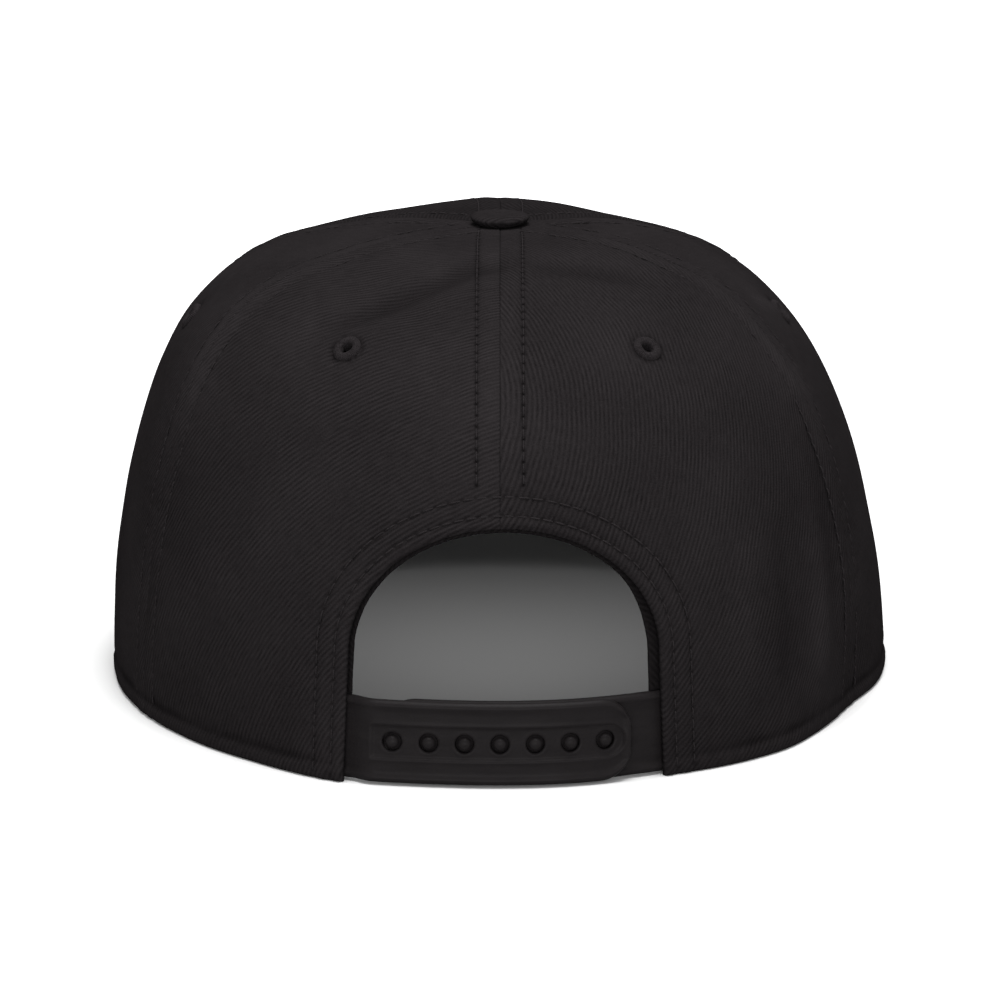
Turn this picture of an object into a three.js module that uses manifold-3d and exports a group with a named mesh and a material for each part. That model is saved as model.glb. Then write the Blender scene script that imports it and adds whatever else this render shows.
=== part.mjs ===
// A six-panel snapback cap: structured crown, flat peak and a plastic snap strap across the open back.
// Millimetres, +Z up. The peak points along -Y and the strap lies at +Y.
// The cap stands on its rim, so z = 0 is the surface under it. The origin is the middle of its footprint.
import * as THREE from "three";
import { mergeVertices } from "three/addons/utils/BufferGeometryUtils.js";
import Module from "manifold-3d";

const wasm = await Module();
wasm.setup();

// Crown
const CROWN_HALF_WIDTH = 92.8;
const CROWN_BACK_DEPTH = 100; // from the button's axis to the back of the rim
const CROWN_FRONT_DEPTH = 93; // from the button's axis to the front of the rim
const CROWN_WIDEST = 12; // the widest line of the rim is this far in front of the button's axis
const CROWN_HEIGHT = 110.5; // rim to the highest part of the crown, just in front of the button
const CROWN_ROUNDNESS = 2.06; // 2 is an ellipse in plan, more is squarer
const SHOULDER_LEAN = 3.2; // how far the soft shoulders lean towards +X
const CLOTH_WALL = 2; // cloth, backing and seam allowance together
const SEAM_GAP = 0.3;
const SEAM_DEPTH = 0.5; // the trough along each seam
const SEAM_WIDTH = 2.6;
const SEAM_RIDGE_HEIGHT = 1.8; // the crown bends more sharply at a seam, which stands this far proud at most
const RIDGE_REACH = 14; // distance from the seam over which the ridge fades
const PANEL_COLUMNS = 10; // facets across one panel
const PANEL_ROWS = 19; // facets from rim to top
const RIM_TRIM = 0.5; // the panels are cut this much too long and levelled at the rim
const FIT_GAP = 0.3; // between pieces that lie against each other

// The wall from the rim (first row) to the top (last row). Up is a share of CROWN_HEIGHT and out is a
// share of the rim's reach, at the back, the sides and the front. Lean is a share of SHOULDER_LEAN, and
// ridge of SEAM_RIDGE_HEIGHT.
const PROFILE = table(
  ["backUp", "backOut", "sideUp", "sideOut", "frontUp", "frontOut", "lean", "ridge"],
  [
    [0.0, 1.0, 0.0, 1.01, 0.0, 1.0, 0.0, 0.0],
    [0.13, 0.995, 0.125, 1.006, 0.13, 0.995, 0.1, 0.0],
    [0.27, 0.98, 0.265, 0.988, 0.27, 0.98, 0.25, 0.05],
    [0.41, 0.95, 0.41, 0.957, 0.42, 0.955, 0.4, 0.2],
    [0.55, 0.9, 0.55, 0.912, 0.57, 0.92, 0.5, 0.5],
    [0.68, 0.83, 0.69, 0.845, 0.71, 0.865, 0.75, 0.85],
    [0.79, 0.74, 0.795, 0.76, 0.83, 0.785, 1.0, 1.0],
    [0.875, 0.62, 0.875, 0.655, 0.91, 0.67, 1.0, 1.0],
    [0.94, 0.46, 0.932, 0.51, 0.946, 0.5, 0.8, 0.8],
    [0.978, 0.26, 0.975, 0.29, 0.985, 0.28, 0.0, 0.4],
    [0.989, 0.0, 0.989, 0.0, 0.989, 0.0, 0.0, 0.0],
  ],
);
const BUTTON_SEAT = CROWN_HEIGHT * PROFILE.at(-1).backUp; // rim to the seat of the button

// Soft folds in the crown. Azimuth is in degrees from the back towards +X, level is a share of the way
// from rim to top, slant is in degrees above the horizontal, the rest are millimetres. A negative depth
// stands proud.
const FOLDS = [
  { azimuth: 20, level: 0.74, slant: -24, halfLength: 30, halfWidth: 5.5, depth: 1.5 },
  { azimuth: -20, level: 0.76, slant: 8, halfLength: 26, halfWidth: 6, depth: 1.0 },
  { azimuth: -44, level: 0.2, slant: 84, halfLength: 26, halfWidth: 6, depth: -1.1 },
  { azimuth: -53, level: 0.24, slant: 84, halfLength: 30, halfWidth: 6, depth: 1.1 },
  { azimuth: -64, level: 0.22, slant: 86, halfLength: 30, halfWidth: 6, depth: -1.0 },
  { azimuth: 40, level: 0.24, slant: 60, halfLength: 34, halfWidth: 12, depth: 0.8 },
  { azimuth: 22, level: 0.02, slant: 90, halfLength: 30, halfWidth: 16, depth: -2.4 },
  { azimuth: -22, level: 0.02, slant: 90, halfLength: 30, halfWidth: 16, depth: 1.2 },
  { azimuth: -66, level: 0.02, slant: 90, halfLength: 28, halfWidth: 23, depth: 3.6 },
  { azimuth: 180, level: 0.82, slant: 90, halfLength: 18, halfWidth: 20, depth: -2.3 },
];
const FOLD_RUN = 160; // length of the wall from rim to top, along which a fold's level is measured

// Panels in order round the crown. Each begins at a seam, given in degrees from the back towards +X, with
// its share of the ridge, and each has one eyelet in it.
const PANELS = [
  { place: "back_left", seam: 0, ridge: 0, eyeletAzimuth: 30.3, eyeletLevel: 0.648 },
  { place: "side_left", seam: 64, ridge: 1, eyeletAzimuth: 89.5, eyeletLevel: 0.597 },
  { place: "front_left", seam: 120, ridge: 0.2, eyeletAzimuth: 150, eyeletLevel: 0.62 },
  { place: "front_right", seam: 180, ridge: 0.3, eyeletAzimuth: 210, eyeletLevel: 0.62 },
  { place: "side_right", seam: 240, ridge: 0.2, eyeletAzimuth: 269, eyeletLevel: 0.603 },
  { place: "back_right", seam: 293, ridge: 1, eyeletAzimuth: 329.3, eyeletLevel: 0.648 },
];
const CROWN_TOP_HOLE = 4.5; // radius left open under the button

// Opening at the back
const OPENING_MIDDLE = -0.9; // the arch's middle in X
const OPENING_HALF_WIDTH = 35.5;
const OPENING_RIM_HALF_WIDTH = 36.6;
const OPENING_HEIGHT = 58;
const OPENING_SPRING_HEIGHT = 29; // where the straight sides turn into the arch
const TAPE_WIDTH = 6.5;
const TAPE_WALL = 0.9;
const TAPE_LIP = 0.9; // how far the tape stands past the cloth's edge
const TAPE_FOOT = 22;
const TAPE_COLUMNS = 16;
const TAPE_ROWS = 8;

// Eyelets
const EYELET_RADIUS = 3.3;
const EYELET_HOLE = 1.1;
const EYELET_BARREL = 1.9;
const EYELET_PROUD = 0.8;
const EYELET_SIDES = 14;

// Button
const BUTTON_RADIUS = 7;
const BUTTON_RISE = 2.8;
const BUTTON_STEM = CROWN_TOP_HOLE - FIT_GAP;
const BUTTON_SIDES = 20;

// Peak
const PEAK_REACH = 70; // front of the crown to the tip
const PEAK_HALF_WIDTH = 93;
const PEAK_WALL = 3.2;
const PEAK_SPREAD = 74; // degrees of the rim covered on each side of the front
const PEAK_BOW = 10.5; // how far its middle stands above its ends
const PEAK_FALL = 0.35; // share of that bow lost towards the tip
const PEAK_ROUNDNESS = 2.3;
const PEAK_COLUMNS = 30;
const PEAK_ROWS = 4;

// Sweatband
const BAND_HEIGHT = 31;
const BAND_WALL = 1.4;
const BAND_FOOT = 0.8;
const BAND_COLUMNS = 40;
const BAND_PASS = 14; // degrees over which the band steps over the strap's sewn end

// Snap strap
const STRAP_HEIGHT = 19;
const STRAP_FOOT = 0.5;
const STRAP_WALL = 1.5;
const STRAP_TAB = 10; // length sewn in behind the cloth
const STRAP_CORNER = 7.5;
const STRAP_COLUMNS = 15;
const HOLE_STRAP_END = 30.6; // free end of the holed strap, from the middle
const STUD_STRAP_END = 27; // free end of the studded strap, from the middle
const STUD_COUNT = 7;
const STUD_PITCH = 8.1;
const STUD_RADIUS = 1.5;
const HOLE_RADIUS = 2.2;
const HOLE_SIDES = 12;
const CHANNEL_HEIGHT = 7.4;
const CHANNEL_DEPTH = 0.4;
const CHANNEL_END = 3.6; // past the outermost hole's middle

const MATERIALS = {
  cloth: new THREE.MeshStandardMaterial({ color: 0x1e1c1d, roughness: 0.92 }),
  band: new THREE.MeshStandardMaterial({ color: 0x181718, roughness: 0.95 }),
  thread: new THREE.MeshStandardMaterial({ color: 0x1a1919, roughness: 0.75 }),
  plastic: new THREE.MeshStandardMaterial({ color: 0x1c1b1b, roughness: 0.45 }),
};

const rad = THREE.MathUtils.degToRad;

// Rows of numbers with a name for each column.
function table(names, rows) {
  return rows.map((row) => Object.fromEntries(names.map((name, i) => [name, row[i]])));
}

// A curve through two named columns of a table, read at a share of the way down it.
function columnCurve(table, outKey, upKey) {
  return new THREE.SplineCurve(table.map((row) => new THREE.Vector2(row[outKey], row[upKey])));
}
const BACK_CURVE = columnCurve(PROFILE, "backOut", "backUp");
const SIDE_CURVE = columnCurve(PROFILE, "sideOut", "sideUp");
const FRONT_CURVE = columnCurve(PROFILE, "frontOut", "frontUp");
const LEAN_CURVE = columnCurve(PROFILE, "lean", "sideUp");
const RIDGE_CURVE = columnCurve(PROFILE, "ridge", "sideUp");

// Distance from the button's axis to the rim, in the direction of an azimuth in radians.
function rimReach(azimuth) {
  let low = 0;
  let high = 2 * CROWN_BACK_DEPTH;
  for (let i = 0; i < 30; i += 1) {
    const reach = (low + high) / 2;
    const along = reach * Math.cos(azimuth) + CROWN_WIDEST;
    const depth = along > 0 ? CROWN_BACK_DEPTH + CROWN_WIDEST : CROWN_FRONT_DEPTH - CROWN_WIDEST;
    const across = Math.abs((reach * Math.sin(azimuth)) / CROWN_HALF_WIDTH);
    if (across ** CROWN_ROUNDNESS + Math.abs(along / depth) ** CROWN_ROUNDNESS < 1) low = reach;
    else high = reach;
  }
  return low;
}

// How far the bowed peak lifts the rim above the ground, x millimetres from the middle.
function peakLift(x) {
  return PEAK_BOW * Math.max(0, 1 - (x / CROWN_HALF_WIDTH) ** 2);
}

// How deep the folds press into the crown at one place.
function foldDepth(azimuth, level) {
  const reach = rimReach(azimuth);
  let depth = 0;
  for (const fold of FOLDS) {
    const turn = turnBetween(rad(fold.azimuth), azimuth);
    const out = BACK_CURVE.getPoint(level).x;
    const across = -turn * reach * out;
    const up = (level - fold.level) * FOLD_RUN;
    const along = across * Math.cos(rad(fold.slant)) + up * Math.sin(rad(fold.slant));
    const beside = up * Math.cos(rad(fold.slant)) - across * Math.sin(rad(fold.slant));
    depth += fold.depth * Math.exp(-((along / fold.halfLength) ** 2) - (beside / fold.halfWidth) ** 2);
  }
  return depth;
}

// The angle from one azimuth to another the short way round.
function turnBetween(from, to) {
  return Math.atan2(Math.sin(to - from), Math.cos(to - from));
}

// How deep the nearest seam's trough is at one place.
function seamDepth(azimuth, reach) {
  const toSeam = Math.min(...PANELS.map(({ seam }) => Math.abs(turnBetween(rad(seam), azimuth))));
  return SEAM_DEPTH * Math.exp(-(((toSeam * reach) / SEAM_WIDTH) ** 2));
}

// How far the ridges along the seams lift the crown at one place.
function ridgeHeight(azimuth, level, reach) {
  const shares = PANELS.map(({ seam, ridge }) => {
    return ridge * Math.exp((-Math.abs(turnBetween(rad(seam), azimuth)) * reach) / RIDGE_REACH);
  });
  return SEAM_RIDGE_HEIGHT * RIDGE_CURVE.getPoint(level).x * shares.reduce((sum, share) => sum + share, 0);
}

// A point of the crown's outer face before any offset.
function shellPoint(azimuth, level, seams) {
  const side = Math.sin(azimuth) ** 2;
  const end = 1 - side;
  const ends = Math.cos(azimuth) > 0 ? BACK_CURVE.getPoint(level) : FRONT_CURVE.getPoint(level);
  const sides = SIDE_CURVE.getPoint(level);
  const out = side * sides.x + end * ends.x;
  const up = side * sides.y + end * ends.y;
  const rim = rimReach(azimuth);
  const lean = SHOULDER_LEAN * LEAN_CURVE.getPoint(level).x * (Math.cos(azimuth) > 0 ? side : 1);
  const trough = seams ? seamDepth(azimuth, rim * out) : 0;
  const press = foldDepth(azimuth, level) + trough - ridgeHeight(azimuth, level, rim * out);
  const steep = Math.sqrt(Math.max(0, 1 - level));
  const reach = Math.max(0, rim * out - press * steep);
  const lift = Math.cos(azimuth) < 0 ? peakLift(rim * Math.sin(azimuth)) * (1 - level) ** 2 : 0;
  return new THREE.Vector3(
    reach * Math.sin(azimuth) + lean,
    reach * Math.cos(azimuth),
    CROWN_HEIGHT * up + lift - press * (1 - steep),
  );
}

// A point a given distance inside the crown's outer face. Level runs from 0 at the rim to 1 at the top.
function crownPoint(azimuth, level, inset = 0, seams = false) {
  const step = 0.004;
  const low = Math.max(0, level - step);
  const high = Math.min(1 - step, level + step);
  const point = shellPoint(azimuth, level, seams);
  const around = shellPoint(azimuth + step, level, seams).sub(shellPoint(azimuth - step, level, seams));
  const upward = shellPoint(azimuth, high, seams).sub(shellPoint(azimuth, low, seams));
  const outward = new THREE.Vector3().crossVectors(upward, around).normalize();
  return point.addScaledVector(outward, -inset);
}

// The level at which the wall stands a given height above the rim, at one azimuth.
function levelAt(azimuth, height) {
  let low = 0;
  let high = 1;
  for (let i = 0; i < 24; i += 1) {
    const middle = (low + high) / 2;
    if (shellPoint(azimuth, middle, false).z - shellPoint(azimuth, 0, false).z < height) low = middle;
    else high = middle;
  }
  return low;
}

// The azimuth at which the back of the rim stands x millimetres to the side of the button's axis.
function backAzimuthAt(x) {
  let azimuth = Math.asin(x / CROWN_BACK_DEPTH);
  for (let i = 0; i < 12; i += 1) azimuth = Math.asin(x / rimReach(azimuth));
  return azimuth;
}

function solidFrom(geometry) {
  const bare = geometry.index ? geometry.toNonIndexed() : geometry.clone();
  bare.deleteAttribute("normal");
  bare.deleteAttribute("uv");
  const merged = mergeVertices(bare, 1e-4);
  const mesh = new wasm.Mesh({
    numProp: 3,
    vertProperties: merged.attributes.position.array,
    triVerts: new Uint32Array(merged.index.array),
  });
  const solid = new wasm.Manifold(mesh);
  if (solid.volume() >= 0) return solid;
  const flipped = mesh.triVerts.slice();
  for (let i = 0; i < flipped.length; i += 3) [flipped[i], flipped[i + 1]] = [flipped[i + 1], flipped[i]];
  const turned = new wasm.Mesh({ numProp: 3, vertProperties: mesh.vertProperties, triVerts: flipped });
  return new wasm.Manifold(turned);
}

function geometryFrom(solid) {
  const mesh = solid.getMesh();
  const geometry = new THREE.BufferGeometry();
  geometry.setAttribute("position", new THREE.BufferAttribute(new Float32Array(mesh.vertProperties), 3));
  geometry.setIndex(new THREE.BufferAttribute(new Uint32Array(mesh.triVerts), 1));
  const flat = geometry.toNonIndexed();
  flat.computeVertexNormals();
  return flat;
}

// A closed sheet between two faces, each a grid of points given by a function of two shares.
function sheetSolid(columns, rows, outer, inner) {
  const points = [];
  const triangles = [];
  for (const face of [outer, inner]) {
    for (let r = 0; r <= rows; r += 1) {
      for (let c = 0; c <= columns; c += 1) points.push(face(c / columns, r / rows));
    }
  }
  const layer = (columns + 1) * (rows + 1);
  const at = (side, c, r) => side * layer + r * (columns + 1) + c;
  const quad = (a, b, c, d) => triangles.push(a, b, c, a, c, d);
  for (let r = 0; r < rows; r += 1) {
    for (let c = 0; c < columns; c += 1) {
      quad(at(0, c, r), at(0, c + 1, r), at(0, c + 1, r + 1), at(0, c, r + 1));
      quad(at(1, c, r + 1), at(1, c + 1, r + 1), at(1, c + 1, r), at(1, c, r));
    }
    quad(at(0, 0, r + 1), at(1, 0, r + 1), at(1, 0, r), at(0, 0, r));
    quad(at(0, columns, r), at(1, columns, r), at(1, columns, r + 1), at(0, columns, r + 1));
  }
  for (let c = 0; c < columns; c += 1) {
    quad(at(0, c + 1, 0), at(0, c, 0), at(1, c, 0), at(1, c + 1, 0));
    quad(at(0, c, rows), at(0, c + 1, rows), at(1, c + 1, rows), at(1, c, rows));
  }
  const geometry = new THREE.BufferGeometry();
  geometry.setAttribute("position", new THREE.Float32BufferAttribute(points.flatMap((p) => p.toArray()), 3));
  geometry.setIndex(triangles);
  return solidFrom(geometry);
}

// The opening's outline in X and Z, grown by a margin and open below the rim.
function openingShape(margin, foot) {
  const spring = OPENING_SPRING_HEIGHT;
  const half = OPENING_HALF_WIDTH + margin;
  const shape = new THREE.Shape();
  shape.moveTo(OPENING_MIDDLE - OPENING_RIM_HALF_WIDTH - margin, foot);
  shape.lineTo(OPENING_MIDDLE - half, spring);
  shape.absellipse(OPENING_MIDDLE, spring, half, OPENING_HEIGHT - spring + margin, Math.PI, 0, true);
  shape.lineTo(OPENING_MIDDLE + OPENING_RIM_HALF_WIDTH + margin, foot);
  return shape;
}

// A prism of an X and Z outline that runs out through the back of the crown.
function backPrism(shape, curveSegments = 16) {
  const length = CROWN_BACK_DEPTH * 1.2;
  const prism = new THREE.ExtrudeGeometry(shape, { depth: length, bevelEnabled: false, curveSegments });
  prism.rotateX(Math.PI / 2);
  prism.translate(0, length, 0);
  return solidFrom(prism);
}

// A round tool or pin whose axis stands square on the crown, from one inset to another.
function pinSolid(azimuth, level, radius, fromInset, toInset, sides) {
  const from = crownPoint(azimuth, level, fromInset);
  const to = crownPoint(azimuth, level, toInset);
  const pin = new THREE.CylinderGeometry(radius, radius, from.distanceTo(to), sides);
  const along = new THREE.Vector3().subVectors(to, from).normalize();
  const turn = new THREE.Quaternion().setFromUnitVectors(new THREE.Vector3(0, 1, 0), along);
  const middle = new THREE.Vector3().addVectors(from, to).multiplyScalar(0.5);
  pin.applyMatrix4(new THREE.Matrix4().compose(middle, turn, new THREE.Vector3(1, 1, 1)));
  return solidFrom(pin);
}

// The ground that levels the rim, and the hole that the button's stem passes through.
const FLOOR_TOOL = solidFrom(new THREE.BoxGeometry(400, 400, 20).translate(0, 0, -10));
const TOP_HOLE = new THREE.CylinderGeometry(CROWN_TOP_HOLE, CROWN_TOP_HOLE, 20, PANELS.length * 4);
const TOP_HOLE_TOOL = solidFrom(TOP_HOLE.rotateX(Math.PI / 2).translate(0, 0, CROWN_HEIGHT));

// One gore of the crown, between two seams, with its half of the back opening and its eyelet's hole cut out.
function panelSolid(index, topLevel) {
  const { seam, eyeletAzimuth, eyeletLevel } = PANELS[index];
  const fromSeam = rad(seam);
  const toSeam = rad(index + 1 < PANELS.length ? PANELS[index + 1].seam : 360);
  const face = (inset) => (across, up) => {
    const level = topLevel * up;
    const reach = shellPoint((fromSeam + toSeam) / 2, level, false).setZ(0).length();
    const half = Math.asin(SEAM_GAP / 2 / reach);
    const azimuth = THREE.MathUtils.lerp(fromSeam + half, toSeam - half, across);
    const point = crownPoint(azimuth, level, inset, true);
    if (up === 0) point.z -= RIM_TRIM;
    return point;
  };
  let solid = sheetSolid(PANEL_COLUMNS, PANEL_ROWS, face(0), face(CLOTH_WALL));
  solid = solid.subtract(FLOOR_TOOL).subtract(TOP_HOLE_TOOL);
  if (index === 0 || index === PANELS.length - 1) solid = solid.subtract(backPrism(openingShape(0, -5)));
  const holeRadius = EYELET_BARREL + FIT_GAP;
  const hole = pinSolid(rad(eyeletAzimuth), eyeletLevel, holeRadius, -3, CLOTH_WALL + 3, EYELET_SIDES);
  return solid.subtract(hole);
}

// A ring of wound thread: a flange on the outside of the cloth and a barrel through it.
function eyeletMesh(azimuth, level) {
  const barrelEnd = -CLOTH_WALL;
  const profile = [
    [EYELET_HOLE, barrelEnd],
    [EYELET_BARREL, barrelEnd],
    [EYELET_BARREL, FIT_GAP],
    [EYELET_RADIUS, FIT_GAP],
    [EYELET_RADIUS, FIT_GAP + EYELET_PROUD * 0.4],
    [(EYELET_RADIUS + EYELET_HOLE) / 2, FIT_GAP + EYELET_PROUD],
    [EYELET_HOLE, FIT_GAP + EYELET_PROUD * 0.4],
    [EYELET_HOLE, barrelEnd],
  ];
  const points = profile.map(([radius, up]) => new THREE.Vector2(radius, up));
  const geometry = geometryFrom(solidFrom(new THREE.LatheGeometry(points, EYELET_SIDES)));
  const mesh = new THREE.Mesh(geometry, MATERIALS.thread);
  const seat = crownPoint(azimuth, level);
  const outward = new THREE.Vector3().subVectors(seat, crownPoint(azimuth, level, 1)).normalize();
  mesh.position.copy(seat);
  mesh.quaternion.setFromUnitVectors(new THREE.Vector3(0, 1, 0), outward);
  return mesh;
}

// The cloth-covered button with the stem that holds it in the crown's top.
function buttonMesh() {
  const points = [
    new THREE.Vector2(0, -CLOTH_WALL),
    new THREE.Vector2(BUTTON_STEM, -CLOTH_WALL),
    new THREE.Vector2(BUTTON_STEM, FIT_GAP),
    new THREE.Vector2(BUTTON_RADIUS * 0.93, FIT_GAP),
  ];
  const steps = 6;
  for (let i = 0; i <= steps; i += 1) {
    const turn = (i / steps) * (Math.PI / 2);
    const radius = BUTTON_RADIUS * Math.cos(turn) ** 0.7;
    points.push(new THREE.Vector2(radius, FIT_GAP + BUTTON_RISE * (0.3 + 0.7 * Math.sin(turn))));
  }
  points[points.length - 1].x = 0;
  const geometry = geometryFrom(solidFrom(new THREE.LatheGeometry(points, BUTTON_SIDES)));
  const mesh = new THREE.Mesh(geometry, MATERIALS.cloth);
  mesh.rotation.x = Math.PI / 2;
  mesh.position.z = BUTTON_SEAT;
  return mesh;
}

// The tape that binds the arch inside the crown and shows as a lip in the opening.
function openingTapeSolid() {
  const spread = backAzimuthAt(OPENING_RIM_HALF_WIDTH + Math.abs(OPENING_MIDDLE) + TAPE_WIDTH) * 1.15;
  const topLevel = levelAt(0, OPENING_HEIGHT + TAPE_WIDTH + 4);
  const face = (inset) => (across, up) => crownPoint(spread * (1 - 2 * across), topLevel * up, inset, false);
  const layerTop = CLOTH_WALL + SEAM_DEPTH + FIT_GAP;
  const layer = sheetSolid(TAPE_COLUMNS, TAPE_ROWS, face(layerTop), face(layerTop + TAPE_WALL));
  const outline = backPrism(openingShape(TAPE_WIDTH - TAPE_LIP, TAPE_FOOT));
  const window = backPrism(openingShape(-TAPE_LIP, TAPE_FOOT - 1));
  return layer.intersect(outline).subtract(window);
}

// The flat, slightly bowed peak, from the crown's front rim to its rounded edge.
function peakSolid() {
  const endDepth = rimReach(rad(180 - PEAK_SPREAD)) * Math.cos(rad(PEAK_SPREAD));
  const tipDepth = CROWN_FRONT_DEPTH + PEAK_REACH;
  const power = 2 / PEAK_ROUNDNESS;
  const plan = (across, outward) => {
    const share = 2 * across - 1;
    const azimuth = rad(180 + share * PEAK_SPREAD);
    const root = shellPoint(azimuth, 0, false).setZ(0);
    root.multiplyScalar(1 + (2 * FIT_GAP) / root.length());
    const turn = share * (Math.PI / 2);
    const edge = new THREE.Vector3(
      -Math.sign(share) * PEAK_HALF_WIDTH * Math.abs(Math.sin(turn)) ** power,
      -endDepth - (tipDepth - endDepth) * Math.cos(turn) ** power,
      0,
    );
    const point = root.lerp(edge, outward);
    point.z = peakLift(point.x) * (1 - PEAK_FALL * outward);
    return point;
  };
  const face = (height) => (across, outward) => {
    const point = plan(across, outward);
    point.z += height;
    return point;
  };
  return sheetSolid(PEAK_COLUMNS, PEAK_ROWS, face(PEAK_WALL), face(0));
}

// The sweatband, from one side of the back opening round the front to the other.
function sweatbandSolid() {
  const start = backAzimuthAt(OPENING_RIM_HALF_WIDTH + OPENING_MIDDLE);
  const end = 2 * Math.PI + backAzimuthAt(OPENING_MIDDLE - OPENING_RIM_HALF_WIDTH);
  const strapRoom = STRAP_WALL + FIT_GAP;
  const face = (depth) => (across, up) => {
    const azimuth = THREE.MathUtils.lerp(start, end, across);
    const fromEnd = Math.min(azimuth - start, end - azimuth);
    const pass = 1 - THREE.MathUtils.smoothstep(fromEnd, rad(BAND_PASS * 0.45), rad(BAND_PASS));
    const height = THREE.MathUtils.lerp(BAND_FOOT, BAND_FOOT + BAND_HEIGHT, up);
    const inset = CLOTH_WALL + FIT_GAP + SEAM_DEPTH + pass * strapRoom + depth;
    return crownPoint(azimuth, levelAt(azimuth, height), inset, false);
  };
  return sheetSolid(BAND_COLUMNS, 2, face(0), face(BAND_WALL));
}

// A strip that follows the back of the crown between two places, at insets given along its length.
function stripSolid(fromX, toX, foot, head, outerInset, innerInset, columns) {
  const face = (inset) => (across, up) => {
    const x = THREE.MathUtils.lerp(fromX, toX, across);
    const azimuth = backAzimuthAt(x);
    const height = THREE.MathUtils.lerp(foot, head, up);
    const point = crownPoint(azimuth, levelAt(azimuth, height), inset(x), false);
    point.z = height;
    return point;
  };
  return sheetSolid(columns, 2, face(outerInset), face(innerInset));
}

// The outline of a strap in X and Z: square where it is sewn in, round at its free end.
function strapShape(tabX, freeX) {
  const out = Math.sign(freeX - tabX);
  const foot = STRAP_FOOT;
  const head = STRAP_FOOT + STRAP_HEIGHT;
  const shape = new THREE.Shape();
  shape.moveTo(tabX, foot);
  shape.lineTo(freeX - out * STRAP_CORNER, foot);
  shape.quadraticCurveTo(freeX, foot, freeX, (foot + head) / 2);
  shape.quadraticCurveTo(freeX, head, freeX - out * STRAP_CORNER, head);
  shape.lineTo(tabX, head);
  return shape;
}

const STRAP_SEWN_INSET = CLOTH_WALL + FIT_GAP + 0.2;
const STRAP_STEP = STRAP_WALL + FIT_GAP; // the holed strap lies this far outside the studded one
const STUD_PLACES = Array.from({ length: STUD_COUNT }, (_, i) => (i - (STUD_COUNT - 1) / 2) * STUD_PITCH);
const STRAP_TAB_X = OPENING_RIM_HALF_WIDTH + STRAP_TAB;
const STUD_HEIGHT = STRAP_FOOT + STRAP_HEIGHT / 2;

// Inset of the holed strap's outer face: proud over the studded strap, and tucked in behind the cloth at
// its sewn end.
function holeStrapInset(x) {
  const tucked = THREE.MathUtils.smoothstep(x, STUD_STRAP_END + 1.2, OPENING_HALF_WIDTH - 1.2);
  return STRAP_SEWN_INSET - STRAP_STEP * (1 - tucked);
}

function holeStrapSolid() {
  const innerInset = (x) => holeStrapInset(x) + STRAP_WALL;
  const foot = STRAP_FOOT;
  const head = STRAP_FOOT + STRAP_HEIGHT;
  const ends = [STRAP_TAB_X, -HOLE_STRAP_END];
  const blank = stripSolid(...ends, foot, head, holeStrapInset, innerInset, STRAP_COLUMNS);
  let strap = blank.intersect(backPrism(strapShape(STRAP_TAB_X, -HOLE_STRAP_END), 6));
  const outermost = Math.max(...STUD_PLACES);
  const channelFoot = STUD_HEIGHT - CHANNEL_HEIGHT / 2;
  const channelHead = STUD_HEIGHT + CHANNEL_HEIGHT / 2;
  const above = () => -3;
  const bed = (x) => holeStrapInset(x) + CHANNEL_DEPTH;
  const channelX = outermost + CHANNEL_END;
  const channel = stripSolid(channelX, -channelX, channelFoot, channelHead, above, bed, STRAP_COLUMNS);
  strap = strap.subtract(channel);
  for (const x of STUD_PLACES) {
    const azimuth = backAzimuthAt(x);
    strap = strap.subtract(pinSolid(azimuth, levelAt(azimuth, STUD_HEIGHT), HOLE_RADIUS, -4, 6, HOLE_SIDES));
  }
  return strap;
}

function studStrapSolid() {
  const outer = () => STRAP_SEWN_INSET;
  const inner = () => STRAP_SEWN_INSET + STRAP_WALL;
  const foot = STRAP_FOOT;
  const head = STRAP_FOOT + STRAP_HEIGHT;
  const blank = stripSolid(-STRAP_TAB_X, STUD_STRAP_END, foot, head, outer, inner, STRAP_COLUMNS);
  let strap = blank.intersect(backPrism(strapShape(-STRAP_TAB_X, STUD_STRAP_END), 6));
  for (const x of STUD_PLACES) {
    const azimuth = backAzimuthAt(x);
    const top = holeStrapInset(x) + CHANNEL_DEPTH / 2;
    const root = STRAP_SEWN_INSET + STRAP_WALL / 2;
    strap = strap.add(pinSolid(azimuth, levelAt(azimuth, STUD_HEIGHT), STUD_RADIUS, root, top, HOLE_SIDES));
  }
  return strap;
}

function addSolid(group, name, solid, material) {
  const mesh = new THREE.Mesh(geometryFrom(solid), material);
  mesh.name = name;
  group.add(mesh);
}

// The level at which the six gores stop around the button's stem.
function topLevelFor(radius) {
  let low = 0;
  let high = 1;
  for (let i = 0; i < 24; i += 1) {
    const middle = (low + high) / 2;
    if (shellPoint(Math.PI / 2, middle, false).setZ(0).length() > radius) low = middle;
    else high = middle;
  }
  return low;
}

const cap = new THREE.Group();
cap.name = "snapback_cap";

const crown = new THREE.Group();
const topLevel = topLevelFor(CROWN_TOP_HOLE * 0.6);
PANELS.forEach(({ place }, index) => {
  addSolid(crown, `panel_${place}`, panelSolid(index, topLevel), MATERIALS.cloth);
});
PANELS.forEach(({ place, eyeletAzimuth, eyeletLevel }) => {
  const mesh = eyeletMesh(rad(eyeletAzimuth), eyeletLevel);
  mesh.name = `eyelet_${place}`;
  crown.add(mesh);
});
const button = buttonMesh();
button.name = "button";
crown.add(button);
addSolid(crown, "opening_tape", openingTapeSolid(), MATERIALS.cloth);
addSolid(crown, "sweatband", sweatbandSolid(), MATERIALS.band);
cap.add(crown);

addSolid(cap, "peak", peakSolid(), MATERIALS.cloth);

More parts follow.
